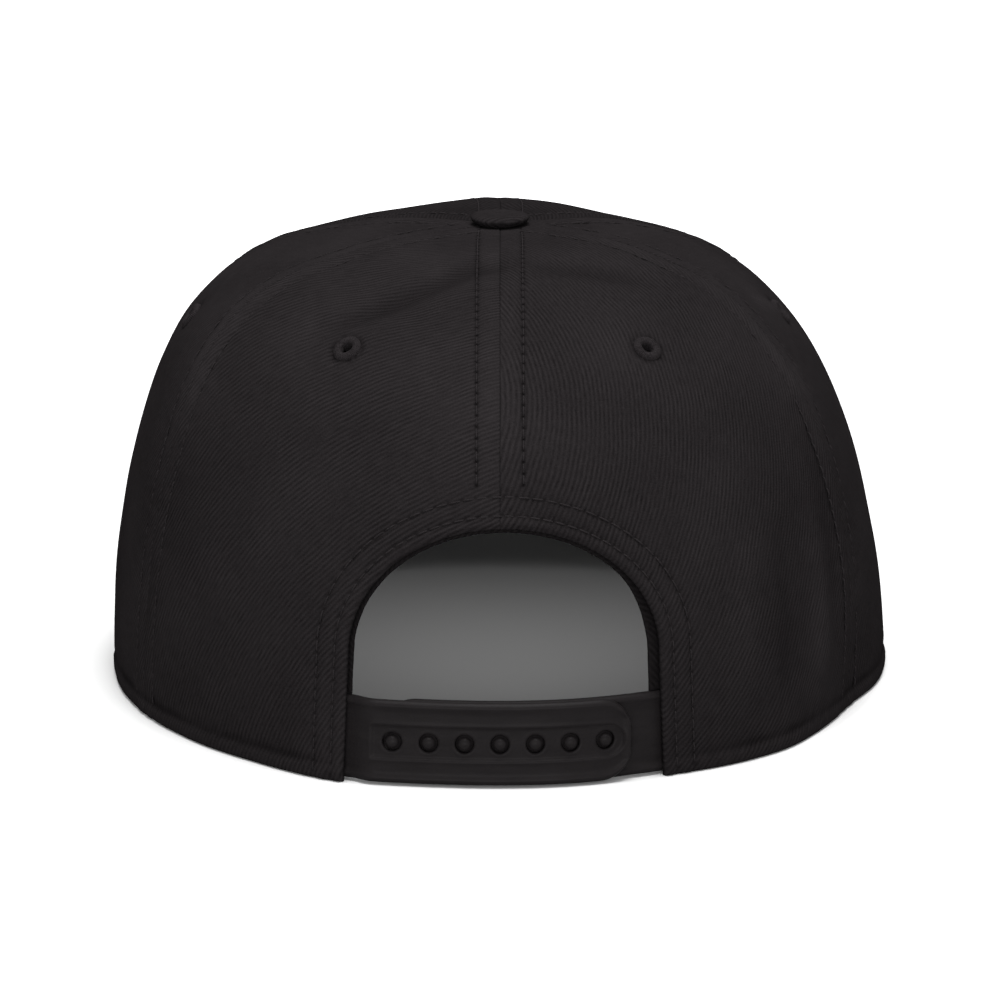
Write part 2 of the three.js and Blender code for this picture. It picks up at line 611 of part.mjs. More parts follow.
const strap = new THREE.Group();
addSolid(strap, "strap_holes", holeStrapSolid(), MATERIALS.plastic);
addSolid(strap, "strap_studs", studStrapSolid(), MATERIALS.plastic);
cap.add(strap);

// Put the middle of the footprint at the origin.
const box = new THREE.Box3().setFromObject(cap);
cap.position.set(-(box.min.x + box.max.x) / 2, -(box.min.y + box.max.y) / 2, -box.min.z);

export default cap;
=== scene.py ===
import math

import bmesh
import bpy
import numpy as np
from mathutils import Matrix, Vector


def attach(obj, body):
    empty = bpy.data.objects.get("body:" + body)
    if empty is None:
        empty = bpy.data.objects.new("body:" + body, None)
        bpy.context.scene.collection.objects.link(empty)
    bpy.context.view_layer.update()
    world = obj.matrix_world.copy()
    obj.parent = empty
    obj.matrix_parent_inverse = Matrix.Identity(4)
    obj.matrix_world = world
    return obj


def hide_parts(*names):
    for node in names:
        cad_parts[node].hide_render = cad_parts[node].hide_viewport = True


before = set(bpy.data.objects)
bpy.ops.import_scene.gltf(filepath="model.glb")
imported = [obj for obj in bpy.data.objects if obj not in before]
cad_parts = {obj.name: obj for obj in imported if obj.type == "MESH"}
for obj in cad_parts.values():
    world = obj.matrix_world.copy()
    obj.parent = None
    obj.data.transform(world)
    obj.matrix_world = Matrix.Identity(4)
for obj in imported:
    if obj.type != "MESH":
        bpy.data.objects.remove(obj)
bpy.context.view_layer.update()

# The crown. Six gores of heavy cotton twill are sewn edge to edge into one shell, and the seam allowances are
# pressed open inside. The shape follows the head: nearly upright walls, round shoulders and a low top, with a
# few soft dents where nothing holds the cloth out.
MM = 0.001
BUTTON_AXIS = 31.856
HALF_WIDTH = 92.8
BACK_DEPTH = 100.0
FRONT_DEPTH = 93.0
WIDEST = 12.0
CROWN_HEIGHT = 110.5
ROUNDNESS = 2.06
SHOULDER_LEAN = 3.2
CLOTH_WALL = 2.0
PEAK_BOW = 10.5
SEAM_RIDGE = 1.8
RIDGE_REACH = 14.0
FOLD_RUN = 160.0

# How high the wall is and how far out, from the rim to the top: at the back, the sides and the front. Lean and
# ridge are shares of their own sizes.
PROFILE = {
    "back_up": [0.0, 0.13, 0.27, 0.41, 0.55, 0.68, 0.79, 0.875, 0.94, 0.978, 0.989],
    "back_out": [1.0, 0.995, 0.98, 0.95, 0.9, 0.83, 0.74, 0.62, 0.46, 0.26, 0.0],
    "side_up": [0.0, 0.125, 0.265, 0.41, 0.55, 0.69, 0.795, 0.875, 0.932, 0.975, 0.989],
    "side_out": [1.01, 1.006, 0.988, 0.957, 0.912, 0.845, 0.76, 0.655, 0.51, 0.29, 0.0],
    "front_up": [0.0, 0.13, 0.27, 0.42, 0.57, 0.71, 0.83, 0.91, 0.946, 0.985, 0.989],
    "front_out": [1.0, 0.995, 0.98, 0.955, 0.92, 0.865, 0.785, 0.67, 0.5, 0.28, 0.0],
    "lean": [0.0, 0.1, 0.25, 0.4, 0.5, 0.75, 1.0, 1.0, 0.8, 0.0, 0.0],
    "ridge": [0.0, 0.0, 0.05, 0.2, 0.5, 0.85, 1.0, 1.0, 0.8, 0.4, 0.0],
}

# Soft folds: azimuth from the back towards +X, share of the way up, slant, half length, half width, depth.
FOLDS = [
    (20, 0.74, -24, 30, 5.5, 1.5),
    (-20, 0.76, 8, 26, 6, 1.0),
    (-44, 0.2, 84, 26, 6, -1.1),
    (-53, 0.24, 84, 30, 6, 1.1),
    (-64, 0.22, 86, 30, 6, -1.0),
    (40, 0.24, 60, 34, 12, 0.8),
    (22, 0.02, 90, 30, 16, -2.4),
    (-22, 0.02, 90, 30, 16, 1.2),
    (-66, 0.02, 90, 28, 23, 3.6),
    (180, 0.82, 90, 18, 20, -2.3),
]
SEAMS = [(0, 0.0), (64, 1.0), (120, 0.2), (180, 0.3), (240, 0.2), (293, 1.0)]


def smooth_curve(values, softness=0.03, samples=601):
    """A table's column as a smooth curve through its rows, softened a little between them."""
    v = np.array(values, float)
    t = np.linspace(0, 1, samples) * (len(v) - 1)
    i = np.minimum(t.astype(int), len(v) - 2)
    f = t - i
    p0, p1, p2, p3 = (v[np.clip(i + k, 0, len(v) - 1)] for k in (-1, 0, 1, 2))
    a, b = (p2 - p0) / 2, (p3 - p1) / 2
    curve = (2 * p1 - 2 * p2 + a + b) * f**3 + (3 * p2 - 3 * p1 - 2 * a - b) * f**2 + a * f + p1
    reach = max(1, int(softness * samples))
    kernel = np.hanning(2 * reach + 1)
    mirrored = np.concatenate([2 * curve[0] - curve[reach:0:-1], curve, 2 * curve[-1] - curve[-2:-reach - 2:-1]])
    return np.convolve(mirrored, kernel / kernel.sum(), mode="valid")


CURVES = {name: smooth_curve(column) for name, column in PROFILE.items()}


def curve_at(name, level):
    return np.interp(level, np.linspace(0, 1, 601), CURVES[name])


def rim_reach(azimuth):
    """Distance from the button's axis to the rim, in one direction."""
    low, high = np.zeros_like(azimuth), np.full_like(azimuth, 2 * BACK_DEPTH)
    for _ in range(34):
        reach = (low + high) / 2
        along = reach * np.cos(azimuth) + WIDEST
        depth = np.where(along > 0, BACK_DEPTH + WIDEST, FRONT_DEPTH - WIDEST)
        inside = np.abs(reach * np.sin(azimuth) / HALF_WIDTH) ** ROUNDNESS + np.abs(along / depth) ** ROUNDNESS < 1
        low, high = np.where(inside, reach, low), np.where(inside, high, reach)
    return low


RIM_TURNS = np.radians(np.linspace(-180, 540, 2881))
RIM_TABLE = rim_reach(RIM_TURNS)


def turn_between(start, end):
    return np.arctan2(np.sin(end - start), np.cos(end - start))


def crown_shell(azimuth, level):
    """Points of the crown's outer face, in millimetres, before any seam or offset."""
    rim = np.interp(azimuth, RIM_TURNS, RIM_TABLE)
    side = np.sin(azimuth) ** 2
    at_back = np.cos(azimuth) > 0
    ends_out = np.where(at_back, curve_at("back_out", level), curve_at("front_out", level))
    ends_up = np.where(at_back, curve_at("back_up", level), curve_at("front_up", level))
    out = side * curve_at("side_out", level) + (1 - side) * ends_out
    up = side * curve_at("side_up", level) + (1 - side) * ends_up
    lean = SHOULDER_LEAN * curve_at("lean", level) * np.where(at_back, side, 1.0)
    press = np.zeros_like(level)
    for turn, height, slant, half_length, half_width, depth in FOLDS:
        across = -turn_between(math.radians(turn), azimuth) * rim * curve_at("back_out", level)
        above = (level - height) * FOLD_RUN
        along = across * math.cos(math.radians(slant)) + above * math.sin(math.radians(slant))
        beside = above * math.cos(math.radians(slant)) - across * math.sin(math.radians(slant))
        press += depth * np.exp(-((along / half_length) ** 2) - (beside / half_width) ** 2)
    for turn, share in SEAMS:
        away = np.abs(turn_between(math.radians(turn), azimuth)) * rim * out
        press -= SEAM_RIDGE * share * curve_at("ridge", level) * np.exp(-away / RIDGE_REACH)
    steep = np.sqrt(np.maximum(0, 1 - level))
    reach = np.maximum(0, rim * out - press * steep)
    bow = PEAK_BOW * np.maximum(0, 1 - (rim * np.sin(azimuth) / HALF_WIDTH) ** 2)
    lift = np.where(at_back, 0.0, bow) * (1 - level) ** 2
    x = reach * np.sin(azimuth) + lean
    y = reach * np.cos(azimuth) + BUTTON_AXIS
    z = CROWN_HEIGHT * up + lift - press * (1 - steep)
    return np.stack([x, y, z], -1)


def crown_face(azimuth, level, inset=0.0):
    """Points at a distance inside the crown's outer face, and the way out there."""
    azimuth, level = np.broadcast_arrays(np.asarray(azimuth, float), np.asarray(level, float))
    step = 0.004
    low, high = np.maximum(0, level - step), np.minimum(1 - step, level + step)
    around = crown_shell(azimuth + step, level) - crown_shell(azimuth - step, level)
    upward = crown_shell(azimuth, high) - crown_shell(azimuth, low)
    outward = np.cross(upward, around)
    outward /= np.linalg.norm(outward, axis=-1, keepdims=True)
    return crown_shell(azimuth, level) - outward * np.asarray(inset, float)[..., None], outward


def place_on_back(x, z):
    """The azimuth and level at which the back of the crown has a given x and z."""
    x, z = np.broadcast_arrays(np.asarray(x, float), np.asarray(z, float))
    azimuth, level = np.arcsin(x / BACK_DEPTH), z / CROWN_HEIGHT * 0.75
    for _ in range(40):
        here = crown_shell(azimuth, level)
        rise = crown_shell(azimuth, level + 0.002)[..., 2] - here[..., 2]
        level = np.clip(level + (z - here[..., 2]) * 0.002 / np.maximum(rise, 1e-3) * 0.9, 0, 0.97)
        turn = crown_shell(azimuth + 0.002, level)[..., 0] - crown_shell(azimuth, level)[..., 0]
        azimuth = azimuth + (x - here[..., 0]) * 0.002 / turn * 0.9
    return azimuth, level


def mesh_piece(name, points, faces, material, flats=None):
    """A smooth mesh from points in millimetres. flats gives each point's places on the flat cloth."""
    mesh = bpy.data.meshes.new(name)
    mesh.from_pydata((np.asarray(points, float) * MM).tolist(), [], np.asarray(faces).tolist())
    corners = np.empty(len(mesh.loops), dtype=np.int32)
    mesh.loops.foreach_get("vertex_index", corners)
    for key, flat in (flats or {}).items():
        layer = mesh.uv_layers.new(name=key)
        layer.data.foreach_set("uv", (np.asarray(flat, float)[corners] * MM).astype(np.float32).ravel())
    solid = bmesh.new()
    solid.from_mesh(mesh)
    bmesh.ops.dissolve_degenerate(solid, dist=1e-7, edges=solid.edges)
    bmesh.ops.recalc_face_normals(solid, faces=solid.faces)
    solid.to_mesh(mesh)
    solid.free()
    mesh.polygons.foreach_set("use_smooth", [True] * len(mesh.polygons))
    mesh.materials.append(material)
    piece = bpy.data.objects.new(name, mesh)
    bpy.context.scene.collection.objects.link(piece)
    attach(piece, "root")
    return piece


def closed_sheet(outer, inner, keep=None):
    """Points and faces of a sheet between two grids of points, walled round its edges and its holes."""
    rows, columns = outer.shape[:2]
    count = rows * columns
    keep = np.ones((rows - 1, columns - 1), bool) if keep is None else keep
    index = np.arange(count).reshape(rows, columns)
    a, b, c, d = index[:-1, :-1], index[:-1, 1:], index[1:, 1:], index[1:, :-1]
    top = np.stack([a, b, c, d], -1)[keep]
    faces = [top, top[:, ::-1] + count]
    beyond = np.pad(keep, 1)
    for near, far, row_step, column_step in ((a, b, -1, 0), (b, c, 0, 1), (c, d, 1, 0), (d, a, 0, -1)):
        rows_to, columns_to = slice(1 + row_step, rows + row_step), slice(1 + column_step, columns + column_step)
        edge = keep & ~beyond[rows_to, columns_to]
        start, end = near[edge], far[edge]
        faces.append(np.stack([end, start, start + count, end + count], -1))
    return np.concatenate([outer.reshape(-1, 3), inner.reshape(-1, 3)]), np.concatenate(faces)


class Value:
    """A shader socket that can be used in sums."""

    def __init__(self, tree, socket):
        self.tree, self.socket = tree, socket

    def math(self, operation, *others, clamp=False):
        node = self.tree.nodes.new("ShaderNodeMath")
        node.operation, node.use_clamp = operation, clamp
        for slot, item in zip(node.inputs, (self, *others)):
            if isinstance(item, Value):
                self.tree.links.new(item.socket, slot)
            else:
                slot.default_value = item
        return Value(self.tree, node.outputs[0])

    def __add__(self, other): return self.math("ADD", other)
    def __sub__(self, other): return self.math("SUBTRACT", other)
    def __mul__(self, other): return self.math("MULTIPLY", other)
    def __truediv__(self, other): return self.math("DIVIDE", other)
    def __neg__(self): return self.math("MULTIPLY", -1.0)
    __radd__ = __add__
    __rmul__ = __mul__
    def __rsub__(self, other): return (-self) + other
    def sin(self): return self.math("SINE")
    def part(self): return self.math("FRACT")
    def floor(self): return self.math("FLOOR")
    def bell(self): return (-(self * self)).math("EXPONENT")
    def held(self): return self.math("ADD", 0.0, clamp=True)


class Finish:
    """A new material with its shader, and one way to add any other node to it."""

    def __init__(self, name, **settings):
        self.material = bpy.data.materials.new(name)
        self.material.use_nodes = True
        self.tree = self.material.node_tree
        self.shader = self.tree.nodes["Principled BSDF"]
        for socket, value in settings.items():
            self.shader.inputs[socket.replace("_", " ")].default_value = value

    def node(self, kind, settings=None, out=0, **inputs):
        node = self.tree.nodes.new("ShaderNode" + kind)
        for key, value in (settings or {}).items():
            setattr(node, key, value)
        for key, value in inputs.items():
            slot = node.inputs[int(key[1:])] if key[0] == "_" else node.inputs[key.replace("_", " ")]
            if isinstance(value, Value):
                self.tree.links.new(value.socket, slot)
            else:
                slot.default_value = value
        return Value(self.tree, node.outputs[out])

    def feed(self, socket, value):
        self.tree.links.new(value.socket, self.shader.inputs[socket])

    def dye(self, tone, dark, pale):
        """Colours the piece from dark to pale, each given as red, green and blue."""
        mix = self.node("Mix", {"data_type": "RGBA"}, 2, _0=tone, _6=(*dark, 1), _7=(*pale, 1))
        self.feed("Base Color", mix)

    def noise(self, place, scale, detail=2.0):
        return self.node("TexNoise", None, 0, Vector=place, Scale=scale, Detail=detail)

    def at(self, x, y):
        return self.node("CombineXYZ", None, 0, X=x, Y=y)

    def place(self):
        """A place in the piece, in millimetres."""
        spot = self.node("TexCoord", None, 3)
        return self.node("VectorMath", {"operation": "SCALE"}, 0, _0=spot, Scale=1000.0)

    def flat_place(self, name):
        """A place on the flat cloth, in millimetres, as two values."""
        place = self.node("UVMap", {"uv_map": name})
        parts = self.node("SeparateXYZ", None, 0, Vector=place)
        return parts * 1000.0, Value(self.tree, parts.socket.node.outputs[1]) * 1000.0

    def bump(self, height, depth):
        """Raises the surface by a height, where 1 stands for a depth in millimetres."""
        self.feed("Normal", self.node("Bump", None, 0, Height=height, Distance=depth * MM, Strength=1.0))


# Cotton twill, dyed black. The weave lies in fine slanting ribs about a millimetre apart, a little uneven as
# spun yarn is, and rubbed paler along their tops. Each gore is cut at its own angle, so its ribs have their own
# slant. Each piece's colour is also scaled by its painted shade, darker on the pieces that get less light.
RIB_PITCH = 1.1
TWIST_PITCH = 0.62
RIB_MIDDLE = 60.0
TWILL_DARK = (0.0019, 0.0016, 0.0017)
TWILL_PALE = (0.0178, 0.0158, 0.0165)
PIT_SHADE, PIT_DEPTH, TWILL_DEPTH = 0.8, 2.5, 0.1


def twill(name, slant, shade, arc=600):
    """A twill finish, with its values of tone and height kept open for the needle's pits."""
    cloth = Finish(name, Roughness=0.95, Specular_IOR_Level=0.0)
    across, up = cloth.flat_place("flat")
    place = cloth.at(across, up)
    sway = cloth.noise(place, 0.045) - 0.5
    wobble = cloth.noise(place, 0.3) - 0.5
    c, s = math.cos(math.radians(slant)), math.sin(math.radians(slant))
    above = up - RIB_MIDDLE
    aside, along = across * s - above * c, across * c + above * s
    inward = arc - aside
    over = arc - (inward * inward + along * along).math("SQRT") + sway * 2.4 + wobble * 0.22
    run = along.math("ARCTAN2", inward) * arc
    rib = (over * (2 * math.pi / RIB_PITCH)).sin() * 0.5 + 0.5
    row = (over / RIB_PITCH + 0.25).floor()
    twist = ((run / TWIST_PITCH + row * 0.37) * (2 * math.pi)).sin() * 0.5 + 0.5
    drawn = cloth.at(run * 0.35, over * 1.6)
    yarn = cloth.noise(drawn, 1.0, 3.0)
    fuzz = cloth.noise(place, 2.6, 3.0)
    rubbed = cloth.noise(place, 0.11, 3.0)
    blotch = cloth.noise(place, 0.028)
    patchy = (0.5 + (rubbed - 0.5) * 2.2).held()
    cloth.height = rib * (0.75 + twist * 0.25) * (0.4 + yarn * 0.6) * (0.35 + patchy) + fuzz * 0.5
    cloth.tone = (0.5 + (rib - 0.5) * (0.1 + patchy * 0.25) + (yarn - 0.5) * 0.45 + (fuzz - 0.5) * 0.55
                  + (blotch - 0.5) * 0.5)
    # the shade is painted shade: it scales the colour darker for pieces that get less light
    cloth.shade = shade
    return cloth


def finish_twill(cloth, pit=None, shadow=None):
    """Colours the twill. A pit is a needle's hole, sunk and painted dark; shadow is painted shade, highlight if
    negative.
    """
    tone, height = cloth.tone, cloth.height
    if pit is not None:
        tone, height = tone * (1 - shadow) * (1 - pit * PIT_SHADE), height - pit * PIT_DEPTH
    dark, pale = ([part * cloth.shade for part in colour] for colour in (TWILL_DARK, TWILL_PALE))
    cloth.dye(tone.held(), dark, pale)
    cloth.bump(height, TWILL_DEPTH)
    return cloth.material


# Gore edges run from seam to seam. The two at the back are cut away for the arched opening, and every raw edge
# is rolled under: along the rim, the seams and the arch. Lock stitches in matching black thread lie beside each
# seam and round the arch, and draw the cloth into shallow grooves, painted with shade along the rows and dark in
# each needle hole. The rim's hem shows as a soft groove alone, with painted shade along it.
# shade is painted shade: it scales each gore's colour darker where the gore gets less light, most on the front gores
GORES = {
    "back_left": dict(seams=(0, 64), slant=-45, arc=150, shade=0.8, eyelet=(30.3, 0.648)),
    "side_left": dict(seams=(64, 120), slant=-62, arc=600, shade=0.8, eyelet=(89.5, 0.597)),
    "front_left": dict(seams=(120, 180), slant=-40, arc=600, shade=0.62, eyelet=(150, 0.62)),
    "front_right": dict(seams=(180, 240), slant=50, arc=600, shade=0.62, eyelet=(210, 0.62)),
    "side_right": dict(seams=(240, 293), slant=66, arc=600, shade=0.78, eyelet=(269, 0.603)),
    "back_right": dict(seams=(293, 360), slant=115, arc=140, shade=0.76, eyelet=(329.3, 0.648)),
}
CELL = 1.2
TOP_LEVEL = 0.992
STITCH_PITCH = 2.7
SEAM_STITCH = 5.3
RIM_HEM = 4.4
HEM_STEPS = (2.4, 2.8, 3.2, 3.6, 4.0)
ARCH_STITCHES = (2.7, 6.7)
OPENING_MIDDLE, OPENING_HALF, OPENING_FOOT_HALF = -0.9, 35.5, 36.6
OPENING_TOP, OPENING_SPRING = 58.0, 29.0
EDGE_ROLL = 1.0
EDGE_STEPS = np.array((0.0, 0.12, 0.3, 0.55, 0.85, 1.25, 1.8))
EYELET_CUT = 1.75
CENTRE_GROOVE, SEAM_GROOVE, ARCH_GROOVE = 0.34, 0.13, 0.26
CENTRE_SHOWS, SEAM_SHOWS, ARCH_SHOWS = 0.25, 0.12, 0.4
THREAD_RADIUS = 0.21
THREAD_RINGS = [(0, 0.4, -1.4), (0.08, 0.85, -0.2), (0.3, 1, 0.5), (0.7, 1, 0.5), (0.92, 0.85, -0.2), (1, 0.4, -1.4)]
thread = Finish("black_thread", Roughness=0.8, Specular_IOR_Level=0.0)
thread_tone = thread.noise(thread.place(), 3.0)
thread.dye(thread_tone, (0.0036, 0.0031, 0.0033), (0.0165, 0.0146, 0.0153))
thread.bump(thread_tone, 0.12)


# Creases where the cloth has folded over, each a path of azimuths and levels with its half width and depth.
# Painted shade darkens the pressed-in ones and a painted highlight lightens the raised ones.
CREASES = [
    ([(41, 0.64), (27, 0.757), (10, 0.85), (-8, 0.862)], 3.6, 1.5),
    ([(-10, 0.85), (-25, 0.842), (-40, 0.81), (-54, 0.77)], 4.0, 1.0),
    ([(-39, 0.36), (-37, 0.2), (-35, 0.05)], 5.0, -0.8),
    ([(-47, 0.36), (-45, 0.2), (-43, 0.05)], 5.0, 0.9),
    ([(-57, 0.36), (-55.5, 0.2), (-54, 0.05)], 5.5, -0.9),
    ([(-64, 0.5), (-61, 0.3), (-60, 0.12)], 5.0, 0.6),
    ([(-78, 0.66), (-84, 0.63), (-90, 0.6)], 2.6, -0.7),
]


def hill(distance, width):
    """A soft rise of 1 at a line, which dies away on both sides of it."""
    return np.exp(-((distance / width) ** 2))


def run_along(line):
    """How far along a line each of its points is."""
    return np.concatenate([[0], np.cumsum(np.linalg.norm(np.diff(line, axis=0), axis=1))])


def from_axis(points):
    """How far points are from the upright line through the button."""
    return np.linalg.norm(points[..., :2] - [0, BUTTON_AXIS], axis=-1)


def turned_faces(rings, steps, closed=False):
    """Faces between rings of points, and from the last ring to the first one where they close."""
    index = np.arange(rings * steps).reshape(rings, steps)
    after = np.roll(index, -1, 0)
    faces = np.stack([index, np.roll(index, -1, 1), np.roll(after, -1, 1), after], -1)
    return (faces if closed else faces[:-1]).reshape(-1, 4)


def on_both_faces(across, up):
    """Flat places for the outer and the inner face of a sheet alike."""
    return np.tile(np.stack([across, up], -1).reshape(-1, 2), (2, 1))


def crease_depth(points):
    """How far the creases press into the cloth."""
    press = np.zeros(points.shape[:-1])
    for path, width, depth in CREASES:
        turn, height = np.array(path, float).T
        knots, dense = np.arange(len(path)), np.linspace(0, len(path) - 1, 50)
        line = crown_shell(np.radians(np.interp(dense, knots, turn)), np.interp(dense, knots, height))
        gap = np.stack([np.linalg.norm(points - spot, axis=-1) for spot in line])
        share = gap.argmin(0) / 49
        press += depth * hill(gap.min(0), width) * np.clip(np.minimum(share, 1 - share) * 4, 0, 1)
    return press


def opening_half(z):
    """Half the opening's width at a height."""
    rise = np.clip((z - OPENING_SPRING) / (OPENING_TOP - OPENING_SPRING), 0, 1)
    leg = OPENING_HALF + (OPENING_FOOT_HALF - OPENING_HALF) * np.clip(1 - z / OPENING_SPRING, 0, 1)
    return np.where(z > OPENING_SPRING, OPENING_HALF * np.sqrt(1 - rise**2), leg)


def opening_edge():
    """The arch seen from behind, as x and z from the foot at +X over the top to the other foot."""
    turn = np.linspace(0, math.pi, 400)
    over = np.stack([OPENING_HALF * np.cos(turn), OPENING_SPRING + (OPENING_TOP - OPENING_SPRING) * np.sin(turn)], -1)
    foot = np.linspace(0, OPENING_SPRING, 60, endpoint=False)
    leg = np.stack([opening_half(foot), foot], -1)
    return np.concatenate([leg, over, (leg * [-1, 1])[::-1]]) + [OPENING_MIDDLE, 0]


ARCH = opening_edge()
ARCH_RUN = run_along(ARCH)


def place_by_arch(x, z):
    """Distance from the arch's edge, and how far along it the nearest point is."""
    flat = np.stack([np.ravel(x), np.ravel(z)], -1)
    distance, run = np.full(len(flat), 99.0), np.zeros(len(flat))
    near = np.flatnonzero((np.abs(flat[:, 0]) < 56) & (flat[:, 1] < 80))
    for start in range(0, len(near), 4000):
        part = near[start:start + 4000]
        gap = ((flat[part, None] - ARCH[None]) ** 2).sum(2)
        nearest = gap.argmin(1)
        distance[part] = np.sqrt(gap[np.arange(len(nearest)), nearest])
        run[part] = ARCH_RUN[nearest]
    return distance.reshape(np.shape(x)), run.reshape(np.shape(x))


def edge_roll(distance, radius=EDGE_ROLL):
    """How far a rolled edge has turned in, at a distance from it."""
    d = np.clip(distance, 0, radius)
    return radius - np.sqrt(np.maximum(0, radius**2 - (radius - d) ** 2))


def stitch_groove(beside, along, depth, width=0.8):
    """How far a row of stitches draws the cloth in."""
    return depth * hill(beside, width) * (0.8 + 0.3 * np.cos(2 * math.pi * along / STITCH_PITCH + math.pi))


def sew(name, starts, ends, outward):
    """Stitches: each thread comes up through the cloth, lies along it and goes down again."""
    groups = (starts, ends, outward)
    starts, ends, outward = (np.concatenate([np.reshape(a, (-1, 3)) for a in group]) for group in groups)
    along = ends - starts
    along /= np.linalg.norm(along, axis=1, keepdims=True)
    aside = np.cross(outward, along)
    aside /= np.linalg.norm(aside, axis=1, keepdims=True)
    up = np.cross(along, aside)
    rings = []
    for share, girth, height in THREAD_RINGS:
        middle = starts + (ends - starts) * share + up * height * THREAD_RADIUS
        for turn in np.radians((0, 60, 120, 180, 240, 300)):
            rings.append(middle + (aside * math.cos(turn) + up * math.sin(turn)) * THREAD_RADIUS * girth)
    points = np.stack(rings, 1)
    one = np.concatenate([turned_faces(6, 6), [(0, 5, 4, 3), (0, 3, 2, 1), (30, 31, 32, 33), (30, 33, 34, 35)]])
    faces = (one[None] + (np.arange(len(points)) * 36)[:, None, None]).reshape(-1, 4)
    piece = mesh_piece(name, points.reshape(-1, 3), faces, thread.material)


def gore_finish(place, slant, shade, arc, at_back):
    """One gore's twill, with painted shade in needle holes, grooves, creases and eyelet rings, painted highlight by
    seams.
    """
    cloth = twill(place + "_twill", slant, shade, arc)
    to_start, to_end = cloth.flat_place("seams")
    _, rise = cloth.flat_place("edge")
    at_start, at_end, rows = CENTRE_SHOWS, SEAM_SHOWS, []
    if at_back:
        from_arch, arch_run = cloth.flat_place("arch")
        at_start = (from_arch - ARCH_STITCHES[1] - 1.0).held()
        rows = [(from_arch - row, arch_run, ARCH_SHOWS) for row in ARCH_STITCHES]
    if place in ("back_right", "front_left"):
        at_start, at_end = at_end, at_start
    rows = [(to_start - SEAM_STITCH, rise, at_start), (to_end - SEAM_STITCH, rise, at_end)] + rows
    # painted shade from the creases, eyelet rings and hem groove, and painted highlight beside the seams
    painted_shading, hem = cloth.flat_place("painted_shading_map")
    pit, shadow = 0.0, painted_shading * 0.24 + ((rise - RIM_HEM) / 1.1).bell() * hem * 0.5
    for beside, along, weight in rows:
        needle = ((along / STITCH_PITCH).part() - 0.5) * (STITCH_PITCH / 0.5)
        pit = (beside / 0.42).bell() * needle.bell() * weight + pit
        shadow = (beside / 0.7).bell() * weight * 0.16 + shadow
    return finish_twill(cloth, pit, shadow)


